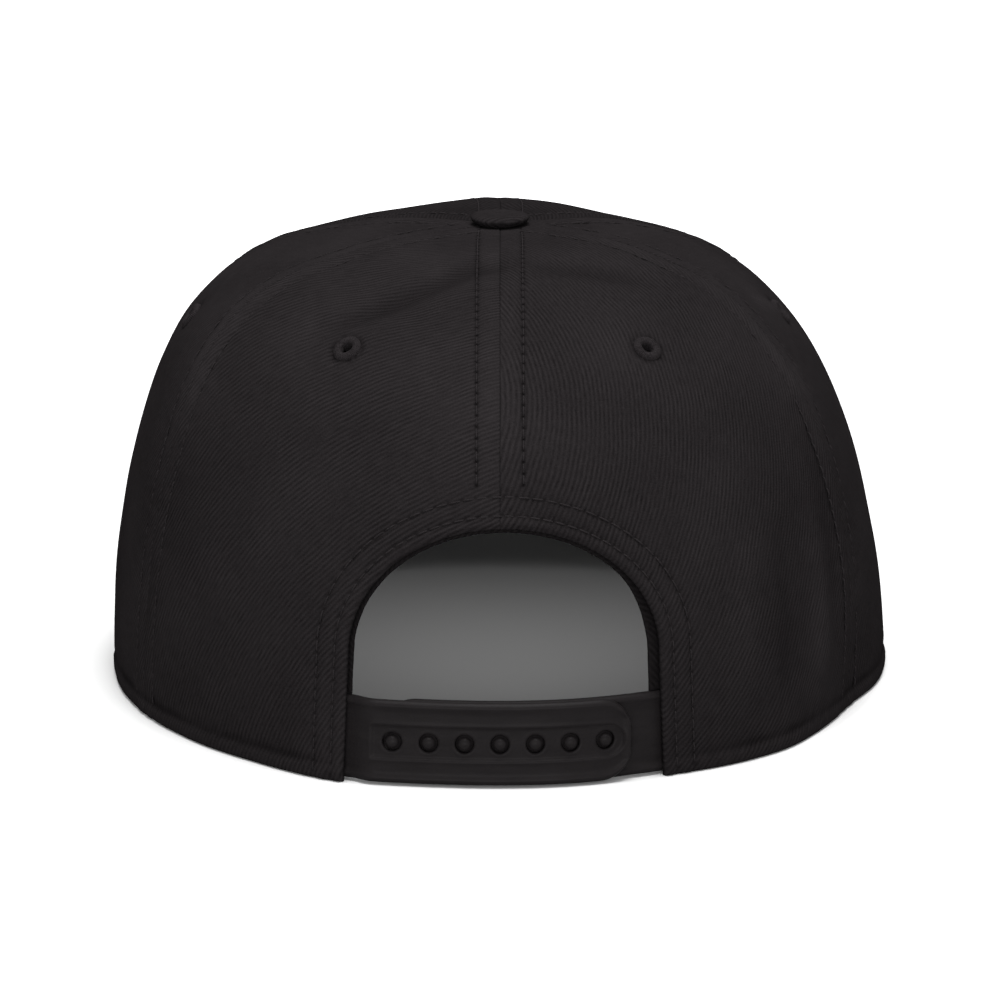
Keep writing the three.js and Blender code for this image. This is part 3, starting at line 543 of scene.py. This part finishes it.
def gore(place, seams, slant, arc, shade, eyelet):
    """Cuts, rolls and sews one gore, and lays its threads."""
    start, end = np.radians(seams)
    middle = (start + end) / 2
    at_back = place.startswith("back")
    mirror = place == "back_right"
    levels = np.linspace(0, TOP_LEVEL, 900)
    wall = crown_shell(np.full_like(levels, middle), levels)
    runs = run_along(wall)
    inner_runs = np.linspace(EDGE_STEPS[-1], runs[-1], int(runs[-1] / CELL))
    row_runs = np.concatenate([EDGE_STEPS[:-1], HEM_STEPS, inner_runs[inner_runs > RIM_HEM]])
    rows = np.interp(row_runs, runs, levels)
    if at_back:
        arch_z = OPENING_SPRING + (OPENING_TOP - OPENING_SPRING) * np.sin(np.linspace(0, math.pi / 2, 46))
        arch_z = np.concatenate([arch_z, OPENING_TOP + np.array([0.12, 0.3, 0.55, 0.85, 1.25, 1.8, 2.6])])
        _, arch_levels = place_on_back(np.zeros(len(arch_z)), arch_z)
        elsewhere = (rows < arch_levels[0] - 1e-3) | (rows > arch_levels[-1] + 1e-3)
        rows = np.unique(np.concatenate([rows[elsewhere], arch_levels]))
    reach = from_axis(crown_shell(np.full_like(rows, middle), rows))
    first, last = np.full_like(rows, start), np.full_like(rows, end)
    if at_back:
        side = -1 if mirror else 1
        edge = np.full_like(rows, side * 0.2)
        for _ in range(25):
            here = crown_shell(edge, rows)
            wanted = OPENING_MIDDLE + side * opening_half(here[:, 2])
            slope = (crown_shell(edge + 0.002, rows)[:, 0] - here[:, 0]) / 0.002
            edge = edge + 0.7 * (wanted - here[:, 0]) / slope
        low = crown_shell(edge * 0, rows)[:, 2] < OPENING_TOP
        if mirror:
            last = np.where(low, 2 * math.pi + np.minimum(0, edge), last)
        else:
            first = np.where(low, np.maximum(0, edge), first)
    columns = int(round((end - start) * HALF_WIDTH / CELL))
    length = np.maximum(0.5, (last - first) * reach)[:, None]
    edges = EDGE_STEPS[None] * np.minimum(1.0, length / 12)
    across = np.linspace(0, 1, columns + 1)[None]
    between = edges[:, -1:] + across * (length - 2 * edges[:, -1:])
    steps = np.concatenate([edges[:, :-1], between, length - edges[:, -2::-1]], 1)
    azimuth = first[:, None] + (last - first)[:, None] * steps / length
    level = np.repeat(rows[:, None], azimuth.shape[1], 1)
    base = crown_shell(azimuth, level)
    radius = from_axis(base)
    rise = np.interp(level, levels, runs)
    to_start, to_end = turn_between(start, azimuth) * radius, -turn_between(end, azimuth) * radius
    rim_run = azimuth * np.interp(azimuth, RIM_TURNS, RIM_TABLE)
    fade = np.clip((radius - 7.0) / 4.0, 0, 1)
    from_arch, arch_run = np.full_like(level, 99.0), np.zeros_like(level)
    if at_back:
        from_arch, arch_run = place_by_arch(base[..., 0], base[..., 2])
    clear = np.clip(from_arch - ARCH_STITCHES[1] - 0.6, 0, 1)

    # what the sewing does to the cloth: grooves at the stitches, plump folds beside them, and puckers
    at_centre = [at_back and abs(math.sin(seam)) < 1e-6 for seam in (start, end)]
    depths = [CENTRE_GROOVE if centre else SEAM_GROOVE for centre in at_centre]
    press = sum(stitch_groove(toward - SEAM_STITCH, rise, deep) for toward, deep in zip((to_start, to_end), depths))
    press = press * fade * clear
    hem = (0.75 + 0.25 * np.sin(rim_run / 6.1 + 1.7 * np.sin(rim_run / 17))) * np.clip(from_arch / 9 - 0.35, 0, 1)
    press += 0.45 * hem * hill(rise - RIM_HEM, 1.1) - 0.3 * hill(rise - 1.9, 1.6)
    press += sum(stitch_groove(from_arch - row, arch_run, ARCH_GROOVE) for row in ARCH_STITCHES)
    press -= 0.25 * hill(from_arch - 1.2, 1.1) + 0.12 * hill(from_arch - 4.7, 1.6)
    flat_x = turn_between(middle, azimuth) * radius
    for toward, beat in ((to_start, 0.4), (to_end, 2.1)):
        press -= 0.14 * hill(toward - 2.7, 1.9) * fade
        press += 0.1 * np.sin(rise / 1.15 + beat + 0.9 * np.sin(rise / 6.3)) * hill(toward - 5.5, 3.2) * fade
    press += 0.09 * np.sin(arch_run / 1.2 + np.sin(arch_run / 7)) * hill(from_arch - 7.5, 2.6)
    press += 0.12 * np.sin(rim_run / 1.5 + np.sin(rim_run / 8)) * hill(rise - 4.6, 2.4)
    slack = 0.13 * np.sin(flat_x / 5.3 + 1.4 * np.sin(rise / 13)) * np.sin(rise / 6.1 + np.sin(flat_x / 11))
    press += slack * np.clip(from_arch / 12, 0, 1)
    seat, away = (a[0] for a in crown_face(np.radians([eyelet[0]]), np.array([eyelet[1]])))
    gap = base - seat
    from_eyelet = np.linalg.norm(gap - (gap @ away)[..., None] * away, axis=-1)
    from_eyelet = np.where(np.linalg.norm(gap, axis=-1) < 20, from_eyelet, 99.0)
    press += 0.3 * hill(from_eyelet, 5.0) + 0.35 * hill(from_eyelet - 3.7, 0.6)
    creased = crease_depth(base)
    press += creased
    # painted shading: painted shade in the creases and in a dark ring round the eyelet, and painted highlight beside
    # each seam
    painted_shading = creased + 1.9 * hill(from_eyelet - 3.75, 0.5)
    for toward, centre in zip((to_start, to_end), at_centre):
        painted_shading -= (0.3 if centre else 0.8 * curve_at("ridge", level)) * hill(toward - 2.2, 2.4) * clear

    turned = np.maximum(edge_roll(np.minimum(rise, from_arch)), edge_roll(np.minimum(to_start, to_end) + 0.12, 0.5))
    outer, _ = crown_face(azimuth, level, press + turned)
    inner, _ = crown_face(azimuth, level, CLOTH_WALL + press * 0.4 - turned * 0.9)
    outer[..., 2], inner[..., 2] = np.maximum(outer[..., 2], 0.02), np.maximum(inner[..., 2], 0.02)
    cell_gap = (from_eyelet[:-1, :-1] + from_eyelet[1:, :-1] + from_eyelet[:-1, 1:] + from_eyelet[1:, 1:]) / 4
    points, faces = closed_sheet(outer, inner, cell_gap > EYELET_CUT)
    maps = {"flat": (flat_x, rise), "seams": (to_start, to_end), "edge": (rim_run, rise),
            "arch": (from_arch, arch_run), "painted_shading_map": (painted_shading, hem)}
    flats = {key: on_both_faces(*pair) for key, pair in maps.items()}
    piece = mesh_piece("gore_" + place, points, faces, gore_finish(place, slant, shade, arc, at_back), flats)
    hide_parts("panel_" + place)

    # the threads themselves, each from one needle hole to the next
    starts, ends, outward = [], [], []

    def sew_along(turn, height, follow):
        """Adds a row's threads. Turn and height give azimuth and level at the row's two ends of each stitch."""
        (turn_a, turn_b), (height_a, height_b) = turn, height
        a, up = crown_face(turn_a, height_a, follow)
        b, _ = crown_face(turn_b, height_b, follow)
        starts.append(a), ends.append(b), outward.append(up)

    half = STITCH_PITCH * 0.44
    centres = np.arange(math.ceil(RIM_HEM / STITCH_PITCH), runs[-1] / STITCH_PITCH - 0.5) * STITCH_PITCH
    for seam, sign, centre in zip((start, end), (1, -1), at_centre):
        ends_at = []
        for shift in (-half, half):
            height = np.interp(centres + shift, runs, levels)
            around = from_axis(crown_shell(np.full_like(height, seam), height))
            ends_at.append((seam + sign * SEAM_STITCH / np.maximum(around, 6), height))
        there = crown_shell(*ends_at[0])
        kept = from_axis(there) > 9.5
        if centre:
            kept &= there[:, 2] > OPENING_TOP + ARCH_STITCHES[1] + 1.5
        (turn_a, height_a), (turn_b, height_b) = ends_at
        sew_along((turn_a[kept], turn_b[kept]), (height_a[kept], height_b[kept]), 0.12)
    if at_back:
        slope = np.gradient(ARCH, axis=0)
        normal = np.stack([slope[:, 1], -slope[:, 0]], -1) / np.linalg.norm(slope, axis=1, keepdims=True)
        centres = np.arange(1, ARCH_RUN[-1] / STITCH_PITCH) * STITCH_PITCH
        for row in ARCH_STITCHES:
            line = ARCH + normal * row
            ax, az, bx, bz = (np.interp(centres + shift, ARCH_RUN, line[:, k])
                              for shift in (-half, half) for k in (0, 1))
            kept = (np.minimum(az, bz) > 1.2) & ((ax + bx > 0) != mirror)
            turn_a, height_a = place_on_back(ax[kept], az[kept])
            turn_b, height_b = place_on_back(bx[kept], bz[kept])
            sew_along((turn_a, turn_b), (height_a, height_b), 0.12)
    sew("stitches_" + place, starts, ends, outward)


for place, cut in GORES.items():
    gore(place, **cut)

# The eyelets. Each is a round of close embroidery worked over the edge of a punched hole, so it stands a little
# proud of the cloth and shows as a ring of radial threads with a dark hole in the middle.
EYELET_THREADS = 46
EYELET_SECTION = [(1.3, -2.3), (1.28, -1.2), (1.3, -0.2), (1.42, 0.4), (1.68, 0.74), (2.12, 0.95), (2.62, 0.88),
                  (3.06, 0.6), (3.36, 0.15), (3.42, -0.4), (2.4, -0.75), (1.72, -1.1), (1.7, -2.3)]
embroidery = Finish("embroidery_thread", Roughness=0.8, Specular_IOR_Level=0.0)
lustre = embroidery.noise(embroidery.place(), 2.5)
embroidery.dye(lustre, (0.0033, 0.0028, 0.003), (0.0172, 0.0152, 0.016))
embroidery.bump(lustre, 0.1)


def aside_and_up(outward):
    """The level way across a small piece that faces outward, and the way up it."""
    aside = np.cross([0, 0, 1], outward)
    aside /= np.linalg.norm(aside)
    return aside, np.cross(outward, aside)


def eyelet(place, azimuth, level):
    """Works one eyelet over its hole."""
    seat, outward = (a[0] for a in crown_face(np.radians([azimuth]), np.array([level]), np.array([0.3])))
    aside, up = aside_and_up(outward)
    section = np.array(EYELET_SECTION)
    run = run_along(section)
    fine = np.linspace(0, run[-1], 34)
    out, height = np.interp(fine, run, section[:, 0]), np.interp(fine, run, section[:, 1])
    turn = np.linspace(0, 2 * math.pi, EYELET_THREADS * 5, endpoint=False)
    worked = np.clip((height + 0.5) / 0.5, 0, 1)[:, None]
    uneven = 1 + 0.3 * np.sin(turn * 3 + azimuth) * np.sin(turn * 7 + 1.3)
    rib = 0.075 * worked * np.cos(EYELET_THREADS * turn + 0.8 * fine[:, None]) * uneven
    reach = out[:, None] + rib * 0.5 + 0.06 * np.sin(turn * 2 + azimuth) * worked
    tall = height[:, None] + rib + 0.07 * np.sin(turn * 3 + azimuth * 2) * worked
    around = np.cos(turn)[:, None] * aside + np.sin(turn)[:, None] * up
    points = seat + reach[..., None] * around + tall[..., None] * outward
    faces = turned_faces(*points.shape[:2], closed=True)
    piece = mesh_piece("embroidered_eyelet_" + place, points.reshape(-1, 3), faces, embroidery.material)
    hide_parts("eyelet_" + place)


for place, cut in GORES.items():
    eyelet(place, *cut["eyelet"])

# The button. A disc pressed over a metal shell and covered with a circle of the same twill, gathered underneath,
# with a shank through the hole where the six gores meet.
BUTTON_SEAT = 109.3
BUTTON_SECTION = [(0.0, 3.1), (2.4, 3.06), (4.4, 2.94), (5.7, 2.72), (6.5, 2.4), (6.95, 2.0), (7.0, 1.65), (6.75, 1.25),
                  (6.35, 0.85), (5.9, 0.5), (5.4, 0.25), (4.3, 0.0), (4.1, -0.6), (4.0, -2.0), (0.0, -2.0)]
section = np.array(BUTTON_SECTION)
run = run_along(section)
fine = np.linspace(0, run[-1], 60)
out, height = np.interp(fine, run, section[:, 0])[:, None], np.interp(fine, run, section[:, 1])[:, None]
turn = np.linspace(0, 2 * math.pi, 144, endpoint=False)[None]
gather = np.clip((out - 5.2) / 1.6, 0, 1) * np.clip((2.0 - height) / 1.6, 0, 1) * (height > -0.5)
uneven = gather * (0.13 * np.cos(17 * turn + 2 * np.sin(3 * turn)) + 0.08 * np.cos(5 * turn + 1))
height = height + uneven * 0.5 + 0.1 * np.cos(2 * turn + 0.7) * (out > 0.1) * (height > 0)
reach = out + uneven
points = np.stack([reach * np.cos(turn), BUTTON_AXIS + reach * np.sin(turn), BUTTON_SEAT + height + 0 * turn], -1)
faces = turned_faces(*points.shape[:2])
flat = (points[..., :2] - [0, BUTTON_AXIS]).reshape(-1, 2)
button_cloth = finish_twill(twill("button_twill", 20, 0.8))
button = mesh_piece("covered_button", points.reshape(-1, 3), faces, button_cloth, {"flat": flat})
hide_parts("button")

# The facing of the arch. A bias tape is sewn round the opening's raw edge and turned to the inside, and its fold
# shows as a thin dark lip behind the cloth; its twill is darkened with painted shade for that lip.
TAPE_WIDTH, TAPE_WALL, TAPE_INSET, TAPE_FOOT = 6.5, 0.9, 2.85, 19.75


def smooth_step(value, low, high):
    share = np.clip((value - low) / (high - low), 0, 1)
    return share * share * (3 - 2 * share)


foot_run = float(np.interp(TAPE_FOOT, ARCH[:60, 1], ARCH_RUN[:60]))
tape_run = np.linspace(foot_run, ARCH_RUN[-1] - foot_run, 240)
edge = np.stack([np.interp(tape_run, ARCH_RUN, ARCH[:, k]) for k in (0, 1)], -1)
slope = np.gradient(edge, axis=0)
normal = np.stack([slope[:, 1], -slope[:, 0]], -1) / np.linalg.norm(slope, axis=1, keepdims=True)
width = TAPE_WIDTH * np.array([0, 0.02, 0.05, 0.1, 0.2, 0.35, 0.5, 0.65, 0.8, 0.9, 0.95, 0.98, 1.0])
lip = 0.45 + 1.3 * smooth_step(-edge[:, 0], 18, 34) * smooth_step(50 - edge[:, 1], 0, 16)
line = edge[:, None] + normal[:, None] * (width[None] - lip[:, None])[..., None]
turn_at, level_at = place_on_back(line[..., 0], line[..., 1])
soften = edge_roll(np.minimum(width, TAPE_WIDTH - width), 0.42)[None]
ripple = 0.06 * np.sin(tape_run / 1.4)[:, None]
outer, _ = crown_face(turn_at, level_at, TAPE_INSET + soften)
inner, _ = crown_face(turn_at, level_at, TAPE_INSET + TAPE_WALL - soften + ripple)
points, faces = closed_sheet(outer, inner)
flat = on_both_faces(*np.meshgrid(tape_run, width, indexing="ij"))
# the facing's twill is darkened as painted shade, for the dark lip
tape = mesh_piece("arch_facing", points, faces, finish_twill(twill("facing_twill", 45, 0.45)), {"flat": flat})
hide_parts("opening_tape")

# The sweatband. A folded strip of soft woven cotton is stitched inside the rim, from one side of the opening round
# the front to the other, and it steps inwards where it passes over the sewn ends of the strap.
BAND_FOOT, BAND_HEIGHT, BAND_INSET, BAND_WALL, BAND_STEP, BAND_YARN = 0.8, 31.0, 2.85, 1.35, 1.8, 0.8
weave = Finish("band_weave", Roughness=0.95, Specular_IOR_Level=0.05)
across, up = weave.flat_place("flat")
cross_weave = (across * (2 * math.pi / BAND_YARN)).sin() * (up * (2 * math.pi / BAND_YARN)).sin()
slub = weave.noise(weave.at(across * 0.3, up * 2.0), 1.0, 3.0)
soil = weave.noise(weave.at(across, up), 0.06)
tone = (0.4 + cross_weave * 0.2 + (slub - 0.5) * 0.8 + (soil - 0.5) * 0.8).held()
weave.dye(tone, (0.03, 0.029, 0.0295), (0.085, 0.083, 0.084))
weave.bump(cross_weave * 0.5 + slub, 0.12)


def back_turn(x):
    """The azimuth at which the back of the rim has a given x."""
    turn = np.linspace(-1.2, 1.2, 1200)
    return np.interp(x, np.interp(turn, RIM_TURNS, RIM_TABLE) * np.sin(turn), turn)


first, last = float(back_turn(35.5)), 2 * math.pi + float(back_turn(-36.9))
turn = np.linspace(first, last, 420)[None]
foot_fold, head_fold = [0, 0.1, 0.3, 0.6, 1.0], [30.0, 30.4, 30.7, 30.9, BAND_HEIGHT]
height = np.concatenate([foot_fold, np.linspace(1.6, 29.4, 24), head_fold])[:, None]
from_end = np.minimum(turn - first, last - turn)
passing = 1 - smooth_step(from_end, math.radians(6.3), math.radians(14))
soften = edge_roll(np.minimum(height, BAND_HEIGHT - height), 0.6)
length = turn * np.interp(turn, RIM_TURNS, RIM_TABLE)
groove_in = sum(0.22 * hill(height - row, 0.7) for row in (2.6, 27.5))
wave = 0.18 * np.sin(length / 9 + np.sin(length / 23)) * np.clip(height / 20, 0, 1)
levels = np.linspace(0, 1, 601)
back_height = crown_shell(0 * levels, levels)[:, 2]
level = np.interp(np.broadcast_to(height + BAND_FOOT, (height.size, turn.size)), back_height, levels)
turn = np.repeat(turn, height.size, 0)
inset = BAND_INSET + passing * BAND_STEP
outer, _ = crown_face(turn, level, inset + soften)
inner, _ = crown_face(turn, level, inset + BAND_WALL - soften - groove_in + np.maximum(wave, -0.05))
points, faces = closed_sheet(outer, inner)
flat = on_both_faces(*np.broadcast_arrays(length, height, turn)[:2])
band = mesh_piece("sweatband_strip", points, faces, weave.material, {"flat": flat})
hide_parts("sweatband")

# The peak. A flat board is covered above and below with twill, stitched through in rows that follow its edge, and
# bent into a slight bow by the crown that it is sewn to.
PEAK_HALF_WIDTH, PEAK_REACH, PEAK_WALL = 93.0, 70.0, 3.2
PEAK_SPREAD, PEAK_FALL, PEAK_ROUNDNESS = 74.0, 0.35, 2.3
PEAK_STITCH, PEAK_THREAD_HALF = 3.1, 1.35
PEAK_ROWS = [0.94 - 0.105 * i for i in range(7)]


def peak_plan(share, outward):
    """A place on the peak's plan: share from -1 to 1 along it, outward from 0 at the crown to 1 at the edge."""
    spread = math.radians(PEAK_SPREAD)
    end_depth = float(np.interp(math.pi - spread, RIM_TURNS, RIM_TABLE)) * math.cos(spread)
    tip_depth = FRONT_DEPTH + PEAK_REACH
    root = crown_shell(math.pi + share * spread, np.zeros_like(share))[..., :2] - [0, BUTTON_AXIS]
    root = root * (1 + 0.1 / np.linalg.norm(root, axis=-1, keepdims=True))
    turn = share * math.pi / 2
    edge = np.stack([-np.sign(share) * PEAK_HALF_WIDTH * np.abs(np.sin(turn)) ** (2 / PEAK_ROUNDNESS),
                     -end_depth - (tip_depth - end_depth) * np.cos(turn) ** (2 / PEAK_ROUNDNESS)], -1)
    plan = root + (edge - root) * outward[..., None]
    bow = PEAK_BOW * np.maximum(0, 1 - (plan[..., 0] / HALF_WIDTH) ** 2) * (1 - PEAK_FALL * outward)
    return np.concatenate([plan + [0, BUTTON_AXIS], bow[..., None]], -1), np.linalg.norm(edge - root, axis=-1)


share = np.sin(np.linspace(-1, 1, 241) * math.pi / 2 * 0.985) / math.sin(math.pi / 2 * 0.985)
outward = np.concatenate([np.linspace(0, 0.955, 84), 1 - 0.045 * (1 - np.linspace(0.1, 1, 14)) ** 2])
share, outward = (a.copy() for a in np.meshgrid(share, outward))
plan, deep = peak_plan(share, outward)
from_edge = (1 - outward) * deep
soften = edge_roll(from_edge, 1.5)
rows_in = sum(0.28 * hill((outward - row) * deep, 0.9) for row in PEAK_ROWS) * np.clip(deep / 14, 0, 1)
puff = 0.12 * np.sin(plan[..., 0] / 7 + np.sin(plan[..., 1] / 9))
upper = plan + np.stack([0 * deep, 0 * deep, PEAK_WALL - soften - rows_in + puff * 0.5 - 0.1], -1)
lower = plan + np.stack([0 * deep, 0 * deep, soften + rows_in + 0.02], -1)
lower[..., 2] = np.maximum(lower[..., 2], 0.02)
points, faces = closed_sheet(upper, lower)
flat = on_both_faces(plan[..., 0], plan[..., 1])
peak = mesh_piece("covered_peak", points, faces, finish_twill(twill("peak_twill", 44, 0.9)), {"flat": flat})
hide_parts("peak")
starts, ends, upright = [], [], []
for row in PEAK_ROWS:
    dense = np.linspace(-0.93, 0.93, 1600)
    path, _ = peak_plan(dense, np.full_like(dense, row))
    run = run_along(path)
    centres = np.arange(1, run[-1] / PEAK_STITCH) * PEAK_STITCH
    a, b = (np.stack([np.interp(centres + shift, run, path[:, k]) for k in range(3)], -1)
            for shift in (-PEAK_THREAD_HALF, PEAK_THREAD_HALF))
    for height, way in ((PEAK_WALL - 0.3, 1), (0.26, -1)):
        starts.append(a + [0, 0, height]), ends.append(b + [0, 0, height])
        upright.append(np.tile([0.0, 0, way], (len(a), 1)))
sew("stitches_peak", starts, ends, upright)

# The snap strap. Two tongues of soft black plastic are moulded flat and sewn in beside the opening. The outer one
# has a long shallow channel with seven holes, a raised bead round its edge and a rounded end, and the inner one has
# seven studs that press through them.
STRAP_FOOT, STRAP_HEAD, STRAP_WALL, STRAP_SEWN_INSET = 0.5, 19.5, 1.5, 2.5
STRAP_TAB_END, HOLE_STRAP_END, STUD_STRAP_END, STRAP_CORNER = 46.2, -30.6, 27.0, 8.0
STUD_PLACES = [(i - 3) * 8.1 for i in range(7)]
STUD_HEIGHT, HOLE_RADIUS = 10.0, 2.15
BEAD_HEIGHT, BEAD_PLACE, BEAD_WIDTH = 0.6, 1.2, 0.75
CHANNEL_HALF, CHANNEL_DEPTH, CHANNEL_FAR, CHANNEL_NEAR = 3.8, 0.5, -28.6, 28.8
plastic = Finish("moulded_plastic", Roughness=0.42, Specular_IOR_Level=0.03)
spot = plastic.place()
grain = plastic.noise(spot, 2.2, 3.0)
flow = plastic.noise(plastic.node("VectorMath", {"operation": "MULTIPLY"}, 0, _0=spot, _1=(0.12, 0.12, 0.5)), 1.0)
tone = (0.5 + (flow - 0.5) * 0.9 + (grain - 0.5) * 0.5).held()
plastic.dye(tone, (0.0042, 0.0036, 0.0038), (0.0078, 0.0068, 0.0071))
plastic.feed("Roughness", 0.36 + grain * 0.14)
plastic.bump(grain + flow, 0.05)


def strap_point(x, z, inset):
    """A place behind the back of the crown, at a height and an inset."""
    turn = back_turn(x)
    levels = np.linspace(0, 0.3, 121)
    grid = crown_shell(np.repeat(turn[0][None], 121, 0), np.repeat(levels[:, None], turn.shape[1], 1))[..., 2]
    level = np.stack([np.interp(z[:, i], grid[:, i], levels) for i in range(z.shape[1])], 1)
    point, outward = crown_face(turn, level, inset)
    point[..., 2] = z
    return point, outward


def strap(name, tab_end, free_end, inset_at, holes, channel, replaced):
    """Moulds one tongue, from its sewn end to its rounded one."""
    out = math.copysign(1, free_end - tab_end)
    corner = free_end - out * STRAP_CORNER
    straight = np.linspace(tab_end, corner, int(abs(corner - tab_end) / 0.42))
    curved = corner + out * STRAP_CORNER * np.sin(np.linspace(0, math.pi / 2, 34))[1:]
    x = np.concatenate([straight, curved[:-1], [free_end - out * 0.002]])
    share = np.clip((x - corner) * out / STRAP_CORNER, 0, 1)
    half = (STRAP_HEAD - STRAP_FOOT) / 2 * np.maximum(0.004, 1 - share**2.3) ** (1 / 2.3)
    across = np.concatenate([[-1, -0.985, -0.96, -0.93], np.linspace(-0.9, 0.9, 47), [0.93, 0.96, 0.985, 1]])
    x = np.repeat(x[None], len(across), 0)
    z = STUD_HEIGHT + across[:, None] * half[None]
    keep = np.ones((z.shape[0] - 1, z.shape[1] - 1), bool)
    for hole in holes:
        cx = (x[:-1, :-1] + x[1:, 1:]) / 2
        cz = (z[:-1, :-1] + z[1:, 1:]) / 2
        keep &= np.hypot(cx - hole, cz - STUD_HEIGHT) > HOLE_RADIUS
    around = np.pad(keep, 1, constant_values=True)
    touching = [around[:-1, :-1], around[:-1, 1:], around[1:, :-1], around[1:, 1:]]
    on_hole = np.logical_or.reduce(touching) & ~np.logical_and.reduce(touching)
    for hole in holes:
        gap = np.hypot(x - hole, z - STUD_HEIGHT)
        near = on_hole & (gap < HOLE_RADIUS + 1.2)
        x = np.where(near, hole + (x - hole) * HOLE_RADIUS / gap, x)
        z = np.where(near, STUD_HEIGHT + (z - STUD_HEIGHT) * HOLE_RADIUS / gap, z)
    from_edge = np.minimum((1 - np.abs(across[:, None])) * half[None], np.abs(free_end - x))
    soften = edge_roll(from_edge, 0.7)
    raised = BEAD_HEIGHT * hill(from_edge - BEAD_PLACE, BEAD_WIDTH)
    if channel:
        radial = np.hypot(np.minimum(0, x - CHANNEL_FAR - CHANNEL_HALF), z - STUD_HEIGHT)
        inside = np.minimum(CHANNEL_HALF - radial, CHANNEL_NEAR - x)
        raised -= CHANNEL_DEPTH * smooth_step(inside, -0.15, 0.3) - 0.2 * hill(inside + 0.25, 0.4)
        for hole in holes:
            gap = np.hypot(x - hole, z - STUD_HEIGHT)
            raised += 0.12 * hill(gap - HOLE_RADIUS - 0.35, 0.3) - 0.12 * hill(gap - HOLE_RADIUS, 0.25)
    inset = inset_at(x)
    outer, _ = strap_point(x, z, inset + soften - raised)
    inner, _ = strap_point(x, z, inset + STRAP_WALL - soften)
    points, faces = closed_sheet(outer, inner, keep)
    piece = mesh_piece(name, points, faces, plastic.material)
    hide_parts(replaced)


def hole_strap_inset(x):
    """The outer tongue lies over the inner one and is tucked in behind the cloth at its sewn end."""
    return STRAP_SEWN_INSET - 1.8 * (1 - smooth_step(x, STUD_STRAP_END + 1.2, OPENING_HALF - 1.2))


strap("strap_outer_tongue", STRAP_TAB_END, HOLE_STRAP_END, hole_strap_inset, STUD_PLACES, True, "strap_holes")
strap("strap_inner_tongue", -STRAP_TAB_END, STUD_STRAP_END, lambda x: STRAP_SEWN_INSET + 0 * x, (), False,
      "strap_studs")
section = np.array([(0.0, 1.15), (0.5, 1.1), (0.95, 0.92), (1.3, 0.6), (1.46, 0.25), (1.5, 0.0), (1.56, -0.25),
                    (1.75, -0.42), (1.98, -0.5), (2.02, -0.6), (2.02, -2.4), (0.0, -2.4)])
points, faces = [], []
turn = np.linspace(0, 2 * math.pi, 28, endpoint=False)
for x in STUD_PLACES:
    seat, outward = strap_point(np.array([[x]]), np.array([[STUD_HEIGHT]]), np.array([[hole_strap_inset(x) + 0.75]]))
    seat, outward = seat[0, 0], outward[0, 0]
    aside, up = aside_and_up(outward)
    around = np.cos(turn)[None, :, None] * aside + np.sin(turn)[None, :, None] * up
    stud = seat + section[:, None, :1] * around + section[:, None, 1:] * outward
    faces.append(turned_faces(len(section), turn.size) + sum(len(p) for p in points))
    points.append(stud.reshape(-1, 3))
studs = mesh_piece("strap_stud_heads", np.concatenate(points), np.concatenate(faces), plastic.material)
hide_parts("strap_studs")

# The studio: a pale floor that runs out of sight, painted darker towards the cap as a painted shadow round and
# under it, one broad soft light overhead, a lower one behind the camera that reaches in through the back opening,
# and even light all round, as for a catalogue picture of a black cap on white.
floor_mesh = bpy.data.meshes.new("floor")
floor_mesh.from_pydata([(-9, -14, 0), (9, -14, 0), (9, 6, 0), (-9, 6, 0)], [], [(0, 1, 2, 3)])
floor = bpy.data.objects.new("floor", floor_mesh)
bpy.context.scene.collection.objects.link(floor)
floor_finish = Finish("floor_with_painted_shadow", Roughness=0.95, Specular_IOR_Level=0.0)
# painted shadow: the floor's colour is darker within a quarter metre of the cap and grows paler farther out
from_cap = floor_finish.node("VectorMath", {"operation": "LENGTH"}, 1, _0=floor_finish.node("TexCoord", None, 3))
floor_finish.dye(((from_cap - 0.25) * 1.6).held(), (0.45, 0.45, 0.45), (0.9, 0.9, 0.9))
floor_mesh.materials.append(floor_finish.material)

world = bpy.data.worlds.new("studio")
world.use_nodes = True
world.node_tree.nodes["Background"].inputs["Color"].default_value = (1, 1, 1, 1)
world.node_tree.nodes["Background"].inputs["Strength"].default_value = 1.05
bpy.context.scene.world = world
bpy.context.scene.view_settings.view_transform = "Standard"


def soft_light(name, place, aim, wide, tall, power):
    light = bpy.data.lights.new(name, "AREA")
    light.shape, light.size, light.size_y, light.energy = "ELLIPSE", wide, tall, power
    lamp = bpy.data.objects.new(name, light)
    lamp.location = place
    lamp.rotation_euler = (Vector(aim) - Vector(place)).to_track_quat("-Z", "Y").to_euler()
    lamp.visible_camera = False
    bpy.context.scene.collection.objects.link(lamp)


soft_light("overhead", (-0.1, 0.15, 1.9), (0, 0.03, 0.0), 1.3, 1.3, 80)
soft_light("behind_camera", (0.0, 2.4, 0.49), (0, 0.05, 0.02), 3.0, 0.72, 54)
soft_light("inside_the_crown", (0.0, 0.02, 0.075), (0, 0.02, 0.0), 0.14, 0.1, 0.021)

camera_data = bpy.data.cameras.new("camera")
camera_data.lens, camera_data.sensor_width, camera_data.sensor_fit = 195.16, 36.0, "HORIZONTAL"
camera_data.clip_start, camera_data.clip_end = 0.05, 30.0
camera = bpy.data.objects.new("camera", camera_data)
aim = Vector((0.0, 0.0349, 0.04275))
lift = math.radians(14.0)
camera.location = aim + 1.3 * Vector((0.0, math.cos(lift), math.sin(lift)))
camera.rotation_euler = (aim - camera.location).to_track_quat("-Z", "Y").to_euler()
bpy.context.scene.collection.objects.link(camera)
bpy.context.scene.camera = camera
